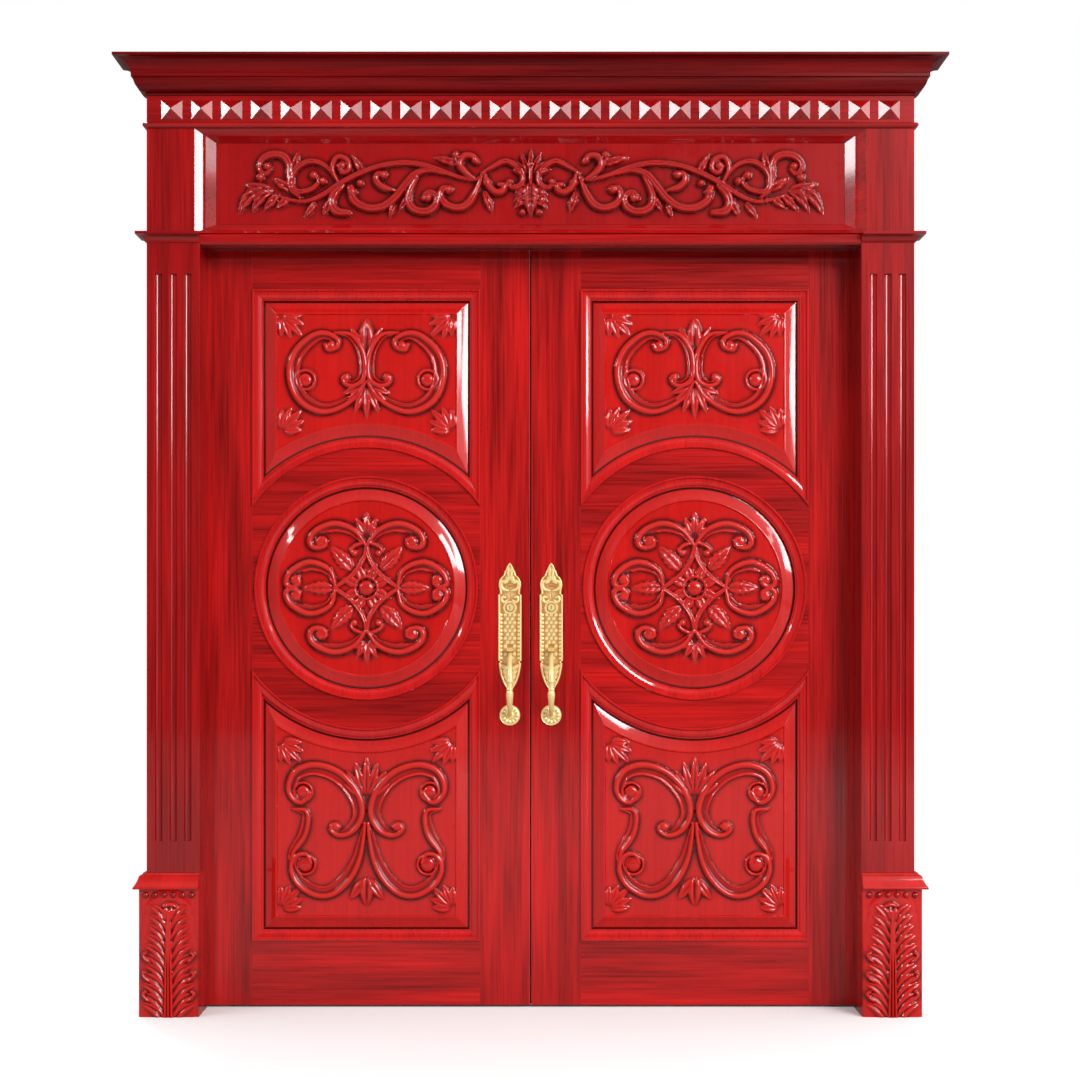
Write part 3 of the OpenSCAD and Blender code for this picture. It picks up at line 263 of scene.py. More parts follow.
def cast_brass(tree, bright, low):
    """Cast brass, polished by hand over its high places.

    The eye sees warm bright ridges, brown tarnish in the hollows and a faint 1.5 mm casting ripple.
    The attribute cut is 0 on polished ridges and 1 in the hollows."""
    place = own_place(tree)
    cut = add_node(tree, "ShaderNodeAttribute", {"attribute_name": "cut"}).outputs["Fac"]
    ripple = noise(tree, place, (1.5, 1.5, 1.5), 2.0)
    cloud = noise(tree, place, (14, 14, 14), 3.0)
    tarnish = scaled_sum(tree, cloud, 0.25, ramp(tree, cut, 0.25, 1.0, 0.0, 0.75), clamp=True)
    # The studio is dim in front, so the shader is only partly a metal: a full one would mirror that and
    # lose its warm colour.
    close_surface(
        tree, blend(tree, tarnish, rgba(bright), rgba(low)), ramp(tree, tarnish, 0.0, 1.0, 0.28, 0.5),
        {"Strength": 0.2, "Distance": 0.3 * MM, "Height": ripple}, {"Metallic": 0.35})


def brushed_steel(tree, colour):
    """Mild steel, brushed along its length, as on bolts and strike plates.

    The eye sees a grey satin with fine lines about 0.8 mm apart and slightly darker smudges."""
    place = own_place(tree)
    lines = noise(tree, place, (0.8, 0.8, 40), 2.0)
    smudge = noise(tree, place, (18, 18, 18), 2.0)
    tint = blend(tree, smudge, rgba(colour), rgba([c * 0.6 for c in colour]))
    close_surface(tree, tint, ramp(tree, lines, 0.3, 0.7, 0.28, 0.46), {
        "Strength": 0.2, "Distance": 0.1 * MM, "Height": lines}, {"Metallic": 1.0})


def black_rubber(tree, colour):
    """Moulded rubber, as on a door's seals.

    The eye sees a dull near-black with paler dust in patches about 12 mm across."""
    dust = noise(tree, own_place(tree), (12, 12, 12), 3.0)
    tint = blend(tree, dust, rgba(colour), rgba([c * 1.8 for c in colour]))
    close_surface(tree, tint, ramp(tree, dust, 0.3, 0.7, 0.6, 0.8), {
        "Strength": 0.2, "Distance": 0.2 * MM, "Height": dust})


def finish(kind):
    """The finish of one kind of piece, made once."""
    c = bpy.context.scene.door_colours
    leaf = (c.leaf, c.leaf_streak, c.worn)
    surround = (c.frame, c.frame_streak, c.worn)
    thin_coat = 0.15
    name, make, *settings = {
        "leaf_upright": ("leaf_lacquered_hardwood_upright", lacquered_hardwood, "Z", *leaf),
        "leaf_across": ("leaf_lacquered_hardwood_across", lacquered_hardwood, "X", *leaf),
        "moulding": ("moulding_lacquered_hardwood", lacquered_hardwood, "Z", c.leaf, c.frame, c.worn),
        "frame_upright": ("frame_lacquered_hardwood_upright", lacquered_hardwood, "Z", *surround),
        "frame_across": ("frame_lacquered_hardwood_across", lacquered_hardwood, "X", *surround),
        # The cornice takes reds darkened with painted shade.
        "cornice": ("cornice_lacquered_hardwood", lacquered_hardwood, "X", c.cornice, c.shaded_cornice_streak,
                    c.frame, thin_coat),
        "panel": ("panel_carved_hardwood", carved_hardwood, c.carved, c.carved_stain_and_shade, c.worn),
        # The frieze takes a red darkened with painted shade.
        "frieze": ("frieze_carved_hardwood", carved_hardwood, c.frieze, c.carved_stain_and_shade, c.worn),
        "brass": ("polished_cast_brass", cast_brass, c.brass, c.brass_low),
        "seal": ("moulded_black_rubber", black_rubber, c.seal),
        "steel": ("brushed_steel", brushed_steel, c.steel)}[kind]
    material = bpy.data.materials.get(name)
    if not material:
        material, tree = new_material(name)
        make(tree, *settings)
    return material


def smooth_curve(points, spacing=2.0):
    """Even samples on a smooth curve through the points, their directions, and their shares of its length."""
    p = np.array(points, float)
    ends = np.vstack([2 * p[0] - p[1], p, 2 * p[-1] - p[-2]])
    t = np.linspace(0, 1, 24, endpoint=False)[:, None]
    stretches = [
        0.5 * (2 * b + (c - a) * t + (2 * a - 5 * b + 4 * c - d) * t ** 2 + (3 * b - a - 3 * c + d) * t ** 3)
        for a, b, c, d in zip(ends[:-3], ends[1:-2], ends[2:-1], ends[3:])]
    dense = np.vstack(stretches + [p[-1:]])
    for _ in range(30):
        dense[1:-1] = (dense[:-2] + 2 * dense[1:-1] + dense[2:]) / 4
    run = np.concatenate([[0], np.cumsum(np.hypot(*np.diff(dense, axis=0).T))])
    share = np.linspace(0, run[-1], max(int(run[-1] / spacing), 4) + 1)
    place = np.column_stack([np.interp(share, run, dense[:, k]) for k in (0, 1)])
    way = np.gradient(place, axis=0)
    way /= np.hypot(way[:, 0], way[:, 1])[:, None]
    return place, way, share / run[-1]


class Relief:
    """Carving over flat points u, v in millimetres. Each form lifts the ground to the tallest form there."""

    def __init__(self, u, v):
        self.u, self.v = u, v
        self.height = np.zeros_like(u)

    def lift(self, rows, height):
        """Raises the points in rows to a height, where they are lower."""
        self.height[rows] = np.maximum(self.height[rows], height)

    def around(self, places, reach):
        """Rows of the points within reach of a run of places."""
        low, high = places.min(axis=0) - reach, places.max(axis=0) + reach
        return np.nonzero(
            (self.u > low[0]) & (self.u < high[0]) & (self.v > low[1]) & (self.v < high[1]))

    def rib(self, points, width, height, start=0.5, end=0.5, band=0, side=1, groove=0):
        """A rounded ridge on a curve, with a hollow band and a thin rim on one side, or a groove on top."""
        place, way, share = smooth_curve(points)
        rows = self.around(place, width + band + 6)
        u, v = self.u[rows][:, None], self.v[rows][:, None]
        near = np.argmin((u - place[:, 0]) ** 2 + (v - place[:, 1]) ** 2, axis=1)
        du, dv = u[:, 0] - place[near, 0], v[:, 0] - place[near, 1]
        past = np.maximum(np.abs(du * way[near, 0] + dv * way[near, 1]) - 1.5, 0)
        off = side * (way[near, 0] * dv - way[near, 1] * du)
        s = share[near]
        taper = (start + (1 - start) * np.clip(s / 0.3, 0, 1) ** 0.7) * (
            end + (1 - end) * np.clip((1 - s) / 0.3, 0, 1) ** 0.7)
        half = 0.5 * width * taper
        away = np.hypot(off, past)
        top = height * (0.55 + 0.45 * taper)
        form = top * np.clip(1 - (away / half) ** 2, 0, 1) ** 0.5
        if groove:
            form -= groove * top * np.exp(-(off / (0.22 * half)) ** 2)
        if band:
            reach = band * np.sin(np.pi * np.clip(s, 0.02, 0.98)) ** 0.7
            along = np.clip((off - half * 0.4) / np.maximum(reach, 1), 0, 1)
            hollow = 0.52 * top * (0.55 + 0.45 * (2 * along - 1) ** 2)
            hollow[(off < 0) | (off > reach + half * 0.4) | (past > 2)] = 0
            rim_off = np.hypot(off - reach - half * 0.4, past)
            rim = 0.68 * top * np.clip(1 - (rim_off / np.maximum(0.32 * half, 2.6)) ** 2, 0, 1) ** 0.6
            form = np.maximum(form, np.maximum(hollow, rim))
        self.lift(rows, np.where(away > width + band + 6, 0, form))

    def leaf(self, root, tip, width, height, lobes=0, vein=0.45, bend=0.0):
        """A pointed leaf with a cut midrib, its edges notched by lobes, bent to one side."""
        root, tip = np.array(root, float), np.array(tip, float)
        length = np.hypot(*(tip - root))
        way = (tip - root) / length
        rows = self.around(np.array([root, tip]), width + abs(bend) * length)
        du, dv = self.u[rows] - root[0], self.v[rows] - root[1]
        t = (du * way[0] + dv * way[1]) / length
        off = way[0] * dv - way[1] * du - bend * length * np.sin(np.pi * np.clip(t, 0, 1))
        inside = (t > 0) & (t < 1)
        t = np.clip(t, 1e-4, 1 - 1e-4)
        half = 0.5 * width * np.sin(np.pi * t ** 0.75) ** 0.8
        if lobes:
            half *= 0.86 + 0.14 * np.abs(np.sin(np.pi * lobes * t))
        across = np.abs(off) / np.maximum(half, 0.5)
        form = height * (0.6 + 0.4 * np.sin(np.pi * t)) * np.clip(1 - across ** 2, 0, 1) ** 0.5
        form -= vein * height * np.exp(-(off / (0.09 * width + 1.2)) ** 2)
        if lobes:
            form *= 1 - 0.16 * (0.5 + 0.5 * np.cos(2 * np.pi * (lobes * t - 0.8 * across)))
        self.lift(rows, np.where(inside & (across < 1), np.maximum(form, 0), 0))

    def ball(self, centre, radius, height, ring=0):
        """A domed boss, with a ring round it."""
        rows = self.around(np.array([centre], float), radius + ring + 4)
        away = np.hypot(self.u[rows] - centre[0], self.v[rows] - centre[1])
        form = height * np.clip(1 - (away / radius) ** 2, 0, 1) ** 0.5
        if ring:
            beside = (away - radius - ring) / (0.55 * ring)
            form = np.maximum(form, 0.75 * height * np.clip(1 - beside ** 2, 0, 1) ** 0.5)
        self.lift(rows, form)

    def fan(self, root, angle, spread, length, count, width, height):
        """Leaves from one root, spread about an angle in degrees, the outer ones shorter."""
        for i in range(count):
            k = 2 * i / (count - 1) - 1
            a = math.radians(angle + spread * k / 2)
            reach = length * (1 - 0.28 * abs(k))
            way = np.array([math.cos(a), math.sin(a)])
            self.leaf(np.array(root) + 0.12 * length * way, np.array(root) + reach * way, width, height)

    def both(self, form, points, *sizes, **more):
        """A form and its mirror image about u = 0."""
        draw = getattr(self, form)
        turned = {key: -value if key in ("side", "bend") else value for key, value in more.items()}
        for way, settings in ((1, more), (-1, turned)):
            places = [(way * u, v) for u, v in points]
            if form == "rib":
                draw(places, *sizes, **settings)
            else:
                draw(*places, *sizes, **settings)

    def cuts(self, depth, round_way=False):
        """0 on rubbed tops, 0.5 on plain ground and 1 in the cuts, from how the height bends."""
        mean = self.height
        for _ in range(20):
            sides = np.pad(mean, ((1, 1), (0, 0)), "edge")
            rounds = np.pad(mean, ((0, 0), (1, 1)), "wrap" if round_way else "edge")
            mean = (sides[:-2] + sides[2:] + rounds[:, :-2] + rounds[:, 2:]) / 4
        return np.clip(0.5 + 1.9 * (mean - self.height) / depth, 0, 1)


def mesh_piece(name, points, faces, material, cut=None):
    """A mesh object at the origin from points in metres, with its faces turned outwards."""
    mesh = bpy.data.meshes.new(name)
    mesh.from_pydata([tuple(p) for p in points], [], faces)
    shape = bmesh.new()
    shape.from_mesh(mesh)
    bmesh.ops.recalc_face_normals(shape, faces=shape.faces)
    shape.to_mesh(mesh)
    shape.free()
    mesh.shade_smooth()
    mesh.set_sharp_from_angle(angle=math.radians(50))
    layer = mesh.attributes.new("cut", "FLOAT", "POINT")
    layer.data.foreach_set("value", np.full(len(points), 0.5) if cut is None else np.asarray(cut, float))
    mesh.materials.append(material)
    piece = bpy.data.objects.new(name, mesh)
    bpy.context.scene.collection.objects.link(piece)
    return piece


def settle(piece, body, slot, *nodes):
    """Fixes a finished piece to its body and hides the nodes that it stands for. The slot is not used."""
    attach(piece, body)
    if nodes:
        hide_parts(*nodes)


def grid_faces(rows, cols, closed=False):
    """Quads between the points of a grid, row by row. A closed grid joins its last column to its first."""
    last = cols if closed else cols - 1
    return [
        (r * cols + c, r * cols + (c + 1) % cols, (r + 1) * cols + (c + 1) % cols, (r + 1) * cols + c)
        for r in range(rows - 1) for c in range(last)]


def skin(front, loops, material, name, cut=None, closed=False, painted_loop_shades=None):
    """A closed piece: a front grid, loops that follow its rim to the back, and a cap on the last loop."""
    rows, cols = front.shape[:2]
    points = [front.reshape(-1, 3)]
    faces = grid_faces(rows, cols, closed)
    if closed:
        rim = list(range((rows - 1) * cols, rows * cols))
        faces.append(tuple(range(cols)))
    else:
        rim = (list(range(cols)) + [r * cols + cols - 1 for r in range(1, rows)]
               + [(rows - 1) * cols + c for c in range(cols - 2, -1, -1)]
               + [r * cols for r in range(rows - 2, 0, -1)])
    first = rows * cols
    for loop in loops:
        ring = list(range(first, first + len(loop)))
        faces += [
            (rim[i], rim[(i + 1) % len(rim)], ring[(i + 1) % len(rim)], ring[i]) for i in range(len(rim))]
        points.append(loop)
        rim, first = ring, first + len(loop)
    faces.append(tuple(rim))
    points = np.vstack(points) * MM
    shade = np.full(len(points), 0.5)
    if cut is not None:
        shade[:rows * cols] = cut.ravel()
    # Painted shade on the loops round a panel, darkest at the foot of its bevel.
    if painted_loop_shades is not None:
        shade[rows * cols:] = np.repeat(painted_loop_shades, len(loops[0]))
    return mesh_piece(name, points, faces, material, shade)


def rim_of(shape):
    """The rim of a grid of points, in the order that skin follows."""
    return np.vstack([shape[0], shape[1:, -1], shape[-1, -2::-1], shape[-2:0:-1, 0]])


# Sizes and places of the leaves in millimetres. Reaches and middles count from the round panel's centre.
SIDES = ((-1, "left"), (1, "right"))
LEAF_X = 461.0  # middle of a leaf, either side of the meeting line
FRONT_Y, BACK_Y = 55.0, 105.0  # faces of the leaves
CENTRE_Z = 1177.0  # middle of the round panels
OPEN_HALF = 320.0  # half the width of the upper and lower openings
ROUND_R = 314.0  # opening of the round panel
ARCH_R = 394.0  # arch of the upper and lower openings
UPPER_REACH, LOWER_REACH = 838.0, 990.0
UPPER_MIDDLE, LOWER_MIDDLE = 609, -681
# A raised panel from its field to its back: how far each level is set in, its depth behind the face, and the
# shade painted on it: a little paler on the field's rim, and darkest from the foot of the bevel out over the
# margin.
PANEL_LEVELS = (
    (68, 2, 0.4), (65, 2, 0.3), (64.6, 2.18, 0.5), (53, 7.35, 0.5), (52.5, 7.57, 0.5), (36.4, 12.96, 0.5),
    (36, 13.1, 1), (33, 14, 1), (0.5, 14, 1), (0.5, 26, 1), (34, 26, 0.5), (68, 36, 0.5), (69, 36, 0.5))
PANEL_PAINTED_SHADES = [stain for _, _, stain in PANEL_LEVELS]
FIELD_IN, FIELD_DEPTH = 70.5, 5.0
FRIEZE_MIDDLE_Z, FRIEZE_BOARD = 2286.5, 10


def corner_fans(r, x, top, bottom, h):
    """A small fan of leaves in each corner of a field, pointing inwards."""
    for z, angle in ((top, 315), (bottom, 45)):
        for s in (-1, 1):
            r.fan((s * x, z), angle if s < 0 else 180 - angle, 84, 86, 5, 25, 0.75 * h)


def upper_carving(r, h):
    """Two C scrolls back to back, hooked at their ends, with a bud above and a palmette below."""
    scroll = [(-2, -30), (-36, -79), (-115, -115), (-186, -86), (-216, -19), (-205, 49), (-156, 98),
              (-115, 107), (-81, 90), (-83, 68), (-107, 60), (-115, 73)]
    hook = [(-88, 109), (-43, 103), (-13, 64), (-4, 19), (-9, -23), (-36, -41), (-62, -34), (-66, -17),
            (-55, -11)]
    r.both("rib", scroll, 19, h, start=0.5, end=0.7, band=22, side=-1)
    r.both("rib", hook, 17, h, start=0.4, end=0.6, band=12, side=-1)
    r.both("ball", [(-172, -24)], 19, 0.75 * h, ring=8)
    r.both("ball", [(-100, 72)], 13, 1.0 * h)
    r.both("ball", [(-58, -18)], 12, 1.0 * h)
    r.leaf((0, 66), (0, 152), 42, h, vein=0.6)
    r.both("leaf", [(-2, 74), (-42, 124)], 26, 0.85 * h, bend=0.12)
    r.fan((0, -34), 270, 132, 100, 7, 26, h)
    corner_fans(r, 242, 160, -168, h)


def round_carving(r, h):
    """Four pairs of scrolls round a diamond strap and a ringed flower."""
    for m in (1, -1):
        def turn(points):
            """The points, turned over for the lower half."""
            return [(x, m * z) for x, z in points]
        top = [(-2, 122), (-36, 164), (-92, 181), (-145, 160), (-160, 130), (-145, 113), (-118, 118),
               (-115, 135), (-128, 141)]
        side = [(-88, 9), (-103, 51), (-160, 73), (-212, 47), (-226, 13), (-209, 2), (-190, 13),
                (-192, 30)]
        strap = [(0, 120), (8, 82), (40, 36), (88, 2)]
        r.both("rib", turn(top), 18, h, start=0.5, end=0.6, band=18, side=m)
        r.both("rib", turn(side), 18, h, start=0.5, end=0.6, band=18, side=m)
        r.both("rib", turn(strap), 15, 0.8 * h, start=0.8, end=0.8, groove=0.35)
        r.both("ball", turn([(-128, 130)]), 17, 0.9 * h)
        r.both("ball", turn([(-200, 22)]), 16, 0.9 * h)
        r.both("leaf", turn([(-40, 50), (-100, 116)]), 44, 0.9 * h, lobes=5)
        r.both("rib", turn([(-8, 126), (-30, 120), (-44, 106), (-34, 94)]), 12, 0.85 * h)
        r.both("ball", turn([(-34, 98)]), 10, 0.9 * h)
        r.fan((0, m * 146), 90 * m, 120, 68, 5, 22, 0.9 * h)
    r.both("leaf", [(-92, 0), (-178, 0)], 40, 0.85 * h, lobes=5)
    for i in range(8):
        a = math.pi * (i + 0.5) / 4
        r.leaf((22 * math.cos(a), 22 * math.sin(a)), (74 * math.cos(a), 74 * math.sin(a)), 32, 0.8 * h)
    r.ball((0, 0), 23, 1.1 * h, ring=8)


def lower_carving(r, h):
    """Two tall scrolls joined by an S at each side, with buds above and below."""
    upper = [(-160, 105), (-179, 79), (-205, 86), (-220, 120), (-201, 165), (-149, 184), (-88, 169),
             (-43, 132), (-17, 86), (-13, 41), (-36, 0), (-73, -15), (-100, 0), (-92, 17), (-77, 11)]
    curve = [(-205, 60), (-171, 56), (-164, 26), (-175, -19), (-205, -60), (-214, -94)]
    lower = [(-156, -90), (-167, -68), (-197, -71), (-212, -105), (-194, -150), (-145, -182), (-96, -180),
             (-51, -143), (-21, -86), (-8, -19), (-4, 19)]
    r.both("rib", upper, 20, h, start=0.6, end=0.6, band=24, side=-1)
    r.both("rib", curve, 16, 0.85 * h, start=0.5, end=0.4, band=14, side=-1)
    r.both("rib", lower, 18, h, start=0.6, end=0.5, band=22, side=1)
    r.both("ball", [(-178, 108)], 19, 0.8 * h, ring=7)
    r.both("ball", [(-172, -96)], 21, 0.8 * h, ring=7)
    r.both("ball", [(-86, 10)], 14, 1.0 * h)
    r.fan((0, 86), 90, 104, 122, 7, 28, h)
    r.leaf((0, -132), (0, -216), 42, h, vein=0.6)
    r.both("leaf", [(-4, -138), (-48, -196)], 30, 0.85 * h)
    corner_fans(r, 244, 250, -220, h)


def frieze_carving(r, h):
    """Running scrolls with lobed leaves either side of a palmette."""
    stem_a = [(-696, -31), (-661, -42), (-620, -46), (-578, -30), (-542, -8), (-501, 18), (-441, 44),
              (-382, 58), (-322, 59), (-263, 45), (-204, 23), (-150, 14), (-124, 37)]
    stem_b = [(-496, -11), (-488, -43), (-450, -64), (-407, -60), (-370, -31), (-342, 4), (-314, 33),
              (-275, 40), (-239, 31)]
    stem_c = [(-135, 22), (-150, -15), (-171, -50), (-199, -64), (-232, -55), (-249, -33), (-242, -12),
              (-225, -11)]
    far = [(-637, -34), (-660, -11), (-665, 22), (-665, 54), (-681, 79), (-713, 84), (-741, 69),
           (-747, 43), (-731, 30), (-718, 42)]
    ring = [(-536, 18), (-565, 52), (-605, 65), (-642, 49), (-660, 17), (-648, -18), (-608, -14),
            (-584, 8), (-591, 26)]
    spiral = [(-532, 10), (-547, 43), (-534, 75), (-507, 69), (-500, 43), (-517, 33), (-529, 49)]
    hanging = [(-515, -3), (-540, -24), (-549, -53), (-534, -74), (-504, -77)]
    curl = [(-372, -16), (-406, -8), (-425, 11), (-422, 28), (-404, 30)]
    third = [(-313, 22), (-331, -12), (-338, -43), (-322, -68), (-288, -74), (-262, -56), (-262, -30),
             (-282, -22), (-295, -37)]
    crest = [(-150, 14), (-180, 34), (-195, 56), (-185, 78), (-161, 79), (-149, 64)]
    fourth = [(-134, 33), (-95, 55), (-70, 65), (-47, 57), (-30, 40), (-20, 19), (-28, 0), (-47, -8),
              (-62, 0), (-62, 10)]
    inner = [(-126, 32), (-120, 6), (-110, -10), (-93, -21), (-76, -15), (-73, -3), (-84, -1)]
    r.both("rib", stem_a, 19, 0.7 * h, groove=0.25)
    r.both("rib", stem_b, 25, 0.8 * h, start=1, end=0.4, groove=0.2)
    r.both("rib", stem_c, 24, 0.85 * h, start=0.4, end=0.9, groove=0.2)
    r.both("rib", far, 24, 0.8 * h, groove=0.25)
    r.both("rib", ring, 19, 0.75 * h, end=0.7, groove=0.25)
    r.both("rib", spiral, 20, 0.85 * h, end=0.8)
    r.both("rib", hanging, 28, 0.95 * h, start=0.3, end=0.7, groove=0.25)
    r.both("rib", curl, 23, 0.85 * h, start=0.3, end=0.9)
    r.both("rib", third, 25, 0.95 * h, start=0.4, end=0.7, groove=0.25)
    r.both("rib", crest, 23, 0.9 * h, start=0.3, end=0.8)
    r.both("rib", fourth, 19, 0.8 * h, end=0.7, groove=0.25)
    r.both("rib", inner, 23, 0.95 * h, start=0.3, end=0.8)
    berries = (
        ((-726, 50), 13), ((-745, 20), 13), ((-598, 26), 13), ((-573, 10), 12), ((-520, 52), 15),
        ((-493, -20), 15), ((-470, 4), 11), ((-406, 27), 13), ((-283, -36), 14), ((-227, -14), 13),
        ((-153, 68), 12), ((-206, 82), 12), ((-57, 8), 10), ((-120, 6), 14), ((-22, -76), 10))
    for place, size in berries:
        r.both("ball", [place], size, 0.95 * h)
    r.both("leaf", [(-728, -8), (-806, -82)], 40, 0.95 * h, lobes=4, bend=-0.14)
    r.both("leaf", [(-716, -16), (-770, -78)], 32, 0.85 * h, lobes=3, bend=-0.1)
    r.both("leaf", [(-694, -24), (-738, -72)], 28, 0.8 * h, lobes=3)
    r.both("leaf", [(-664, -34), (-706, -66)], 24, 0.7 * h)
    r.both("leaf", [(-712, -16), (-792, 2)], 34, 0.8 * h, lobes=3)
    r.both("leaf", [(-660, -16), (-712, 20)], 30, 0.85 * h, lobes=3)
    r.both("leaf", [(-654, 40), (-640, 94)], 24, 0.85 * h)
    r.both("leaf", [(-546, -34), (-574, -88)], 28, 0.85 * h, lobes=3)
    r.both("leaf", [(-592, -46), (-624, -92)], 22, 0.7 * h)
    r.both("leaf", [(-330, -24), (-364, -74)], 26, 0.8 * h, lobes=3)
    r.both("leaf", [(-376, -48), (-390, -92)], 20, 0.7 * h)
    r.both("leaf", [(-188, 56), (-272, 78)], 28, 0.8 * h, lobes=4)
    r.both("leaf", [(-194, 52), (-214, 96)], 22, 0.85 * h)
    r.both("leaf", [(-128, -14), (-106, -80)], 26, 0.85 * h, lobes=3)
    r.both("leaf", [(-460, 26), (-494, 88)], 26, 0.75 * h, lobes=3)
    r.fan((0, 22), 90, 136, 82, 7, 18, h)
    r.rib([(0, 60), (0, 30), (0, 0)], 15, 0.9 * h, groove=0.3)
    for z in (-2, -20, -40):
        r.both("leaf", [(-6, z), (-46, z - 26)], 24, 0.8 * h, lobes=3, bend=-0.1)
    r.leaf((0, 10), (0, -88), 50, 1.05 * h, lobes=5)


def arched_outline(reach, inset, columns, rows):
    """Points of a panel field over an arch: columns across, rows from the arch to the straight edge."""
    u = np.linspace(-1, 1, columns) * (OPEN_HALF - inset)
    low = np.sqrt((ARCH_R + inset) ** 2 - u ** 2)
    share = np.linspace(0, 1, rows)[:, None]
    return np.broadcast_to(u, (rows, columns)).copy(), low + (reach - inset - low) * share


def stand(u, depth, v, side, turn=1):
    """Points of a leaf panel in the door's frame, from its axis, depth behind the face, and height."""
    y = np.broadcast_to(FRONT_Y + depth, u.shape)
    return np.stack([side * LEAF_X + u, y, CENTRE_Z + turn * v], axis=-1)


def arched_panel(name, reach, turn, carve, middle, relief, step, side, material):
    """A raised and carved panel with one curved side, over the round panel or turned under it."""
    columns = int(2 * (OPEN_HALF - FIELD_IN) / step) + 1
    rows = int((reach - FIELD_IN - ARCH_R) / step) + 1
    u, v = arched_outline(reach, FIELD_IN, columns, rows)
    work = Relief(u, turn * v - middle)
    carve(work, relief)
    front = stand(u, FIELD_DEPTH - work.height, v, side, turn)
    loops = []
    for inset, depth, _ in PANEL_LEVELS:
        a, b = arched_outline(reach, inset, columns, rows)
        loops.append(rim_of(stand(a, np.full_like(a, depth), b, side, turn)))
    return skin(front, loops, material, name, work.cuts(relief), painted_loop_shades=PANEL_PAINTED_SHADES)


def round_panel(name, relief, step, side, material):
    """A raised and carved round panel."""
    radius = ROUND_R - FIELD_IN
    rings = int(radius / step)
    sectors = int(2 * math.pi * radius / (1.55 * step))
    r = np.linspace(1.2, radius, rings)[:, None]
    a = np.linspace(0, 2 * math.pi, sectors, endpoint=False)
    u, v = r * np.cos(a), r * np.sin(a)
    work = Relief(u, v)
    round_carving(work, relief)
    front = stand(u, FIELD_DEPTH - work.height, v, side)
    loops = [
        stand((ROUND_R - inset) * np.cos(a), np.full_like(a, depth), (ROUND_R - inset) * np.sin(a), side)
        for inset, depth, _ in PANEL_LEVELS]
    shade = work.cuts(relief, round_way=True)
    return skin(front, loops, material, name, shade, closed=True, painted_loop_shades=PANEL_PAINTED_SHADES)


class DOOR_OT_carve_panels(bpy.types.Operator):
    """Carves the six raised panels of the leaves"""
    bl_idname = "door.carve_panels"
    bl_label = "Carve Panels"

    def execute(self, context):
        sizes = context.scene.door_carving
        relief, step = sizes.panel_relief / MM, sizes.grid / MM
        material = finish("panel")
        for side, word in SIDES:
            upper = arched_panel(
                f"{word}_upper_carving", UPPER_REACH, 1, upper_carving, UPPER_MIDDLE,
                relief, step, side, material)
            middle = round_panel(f"{word}_round_carving", relief, step, side, material)
            lower = arched_panel(
                f"{word}_lower_carving", LOWER_REACH, -1, lower_carving, LOWER_MIDDLE,
                relief, step, side, material)
            for piece, node in ((upper, "upper"), (middle, "round"), (lower, "lower")):
                settle(piece, f"{word}_leaf", "carved_wood", f"{word}_{node}_panel")
        return {"FINISHED"}


class DOOR_OT_carve_frieze(bpy.types.Operator):
    """Carves the frieze's running scrolls"""
    bl_idname = "door.carve_frieze"
    bl_label = "Carve Frieze"

    def execute(self, context):
        sizes = context.scene.door_carving
        relief, step = sizes.frieze_relief / MM, sizes.grid / MM
        low, high = (np.array(corner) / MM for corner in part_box("frieze_panel"))
        back, face = high[1], high[1] - FRIEZE_BOARD
        u, v = np.meshgrid(
            np.linspace(low[0], high[0], int((high[0] - low[0]) / step)),
            np.linspace(low[2], high[2], int((high[2] - low[2]) / step)))
        work = Relief(u, v - FRIEZE_MIDDLE_Z)
        frieze_carving(work, relief)
        front = np.stack([u, face - work.height, v], axis=-1)
        behind = rim_of(np.stack([u, np.full_like(u, back), v], axis=-1))
        piece = skin(front, [behind], finish("frieze"), "frieze_carving", work.cuts(relief))
        settle(piece, "frame", "carved_wood", "frieze_panel")
        return {"FINISHED"}


def acanthus(r, h):
    """A tall acanthus leaf from its foot up: two tiers of bent fronds on a domed body, curls and a stem."""
    r.rib([(0, -30), (0, 120), (0, 286)], 158, 0.35 * h, start=1, end=0.8)
    for i in range(7):
        z = 78 + 27 * i
        r.both("leaf", [(-3, z), (-76 + 5 * max(i - 2, 0), z + 70)], 31, 0.92 * h, vein=0.55, bend=-0.15)
    for i in range(4):
        z = 27 * i - 20
        r.both("leaf", [(-8, z), (-80, z + 60)], 32, h, vein=0.55, bend=-0.13)
    for u, z in ((69, 170), (70, 118), (70, 64)):
        curl = [(20 - u, z - 22), (8 - u, z - 12), (-u, z), (7 - u, z + 5)]
        r.both("rib", curl, 10, 1.05 * h, start=0.3, end=0.8)
    for u in (-9, 0, 9):
        r.rib([(u, -6), (0.8 * u, 120), (0.3 * u, 288)], 8.5, 1.05 * h, start=1, end=0.7)
    r.leaf((0, 256), (0, 314), 40, h, lobes=3)
    r.rib([(-22, 303), (-6, 309), (12, 304)], 13, 1.1 * h, start=0.6, end=0.6)


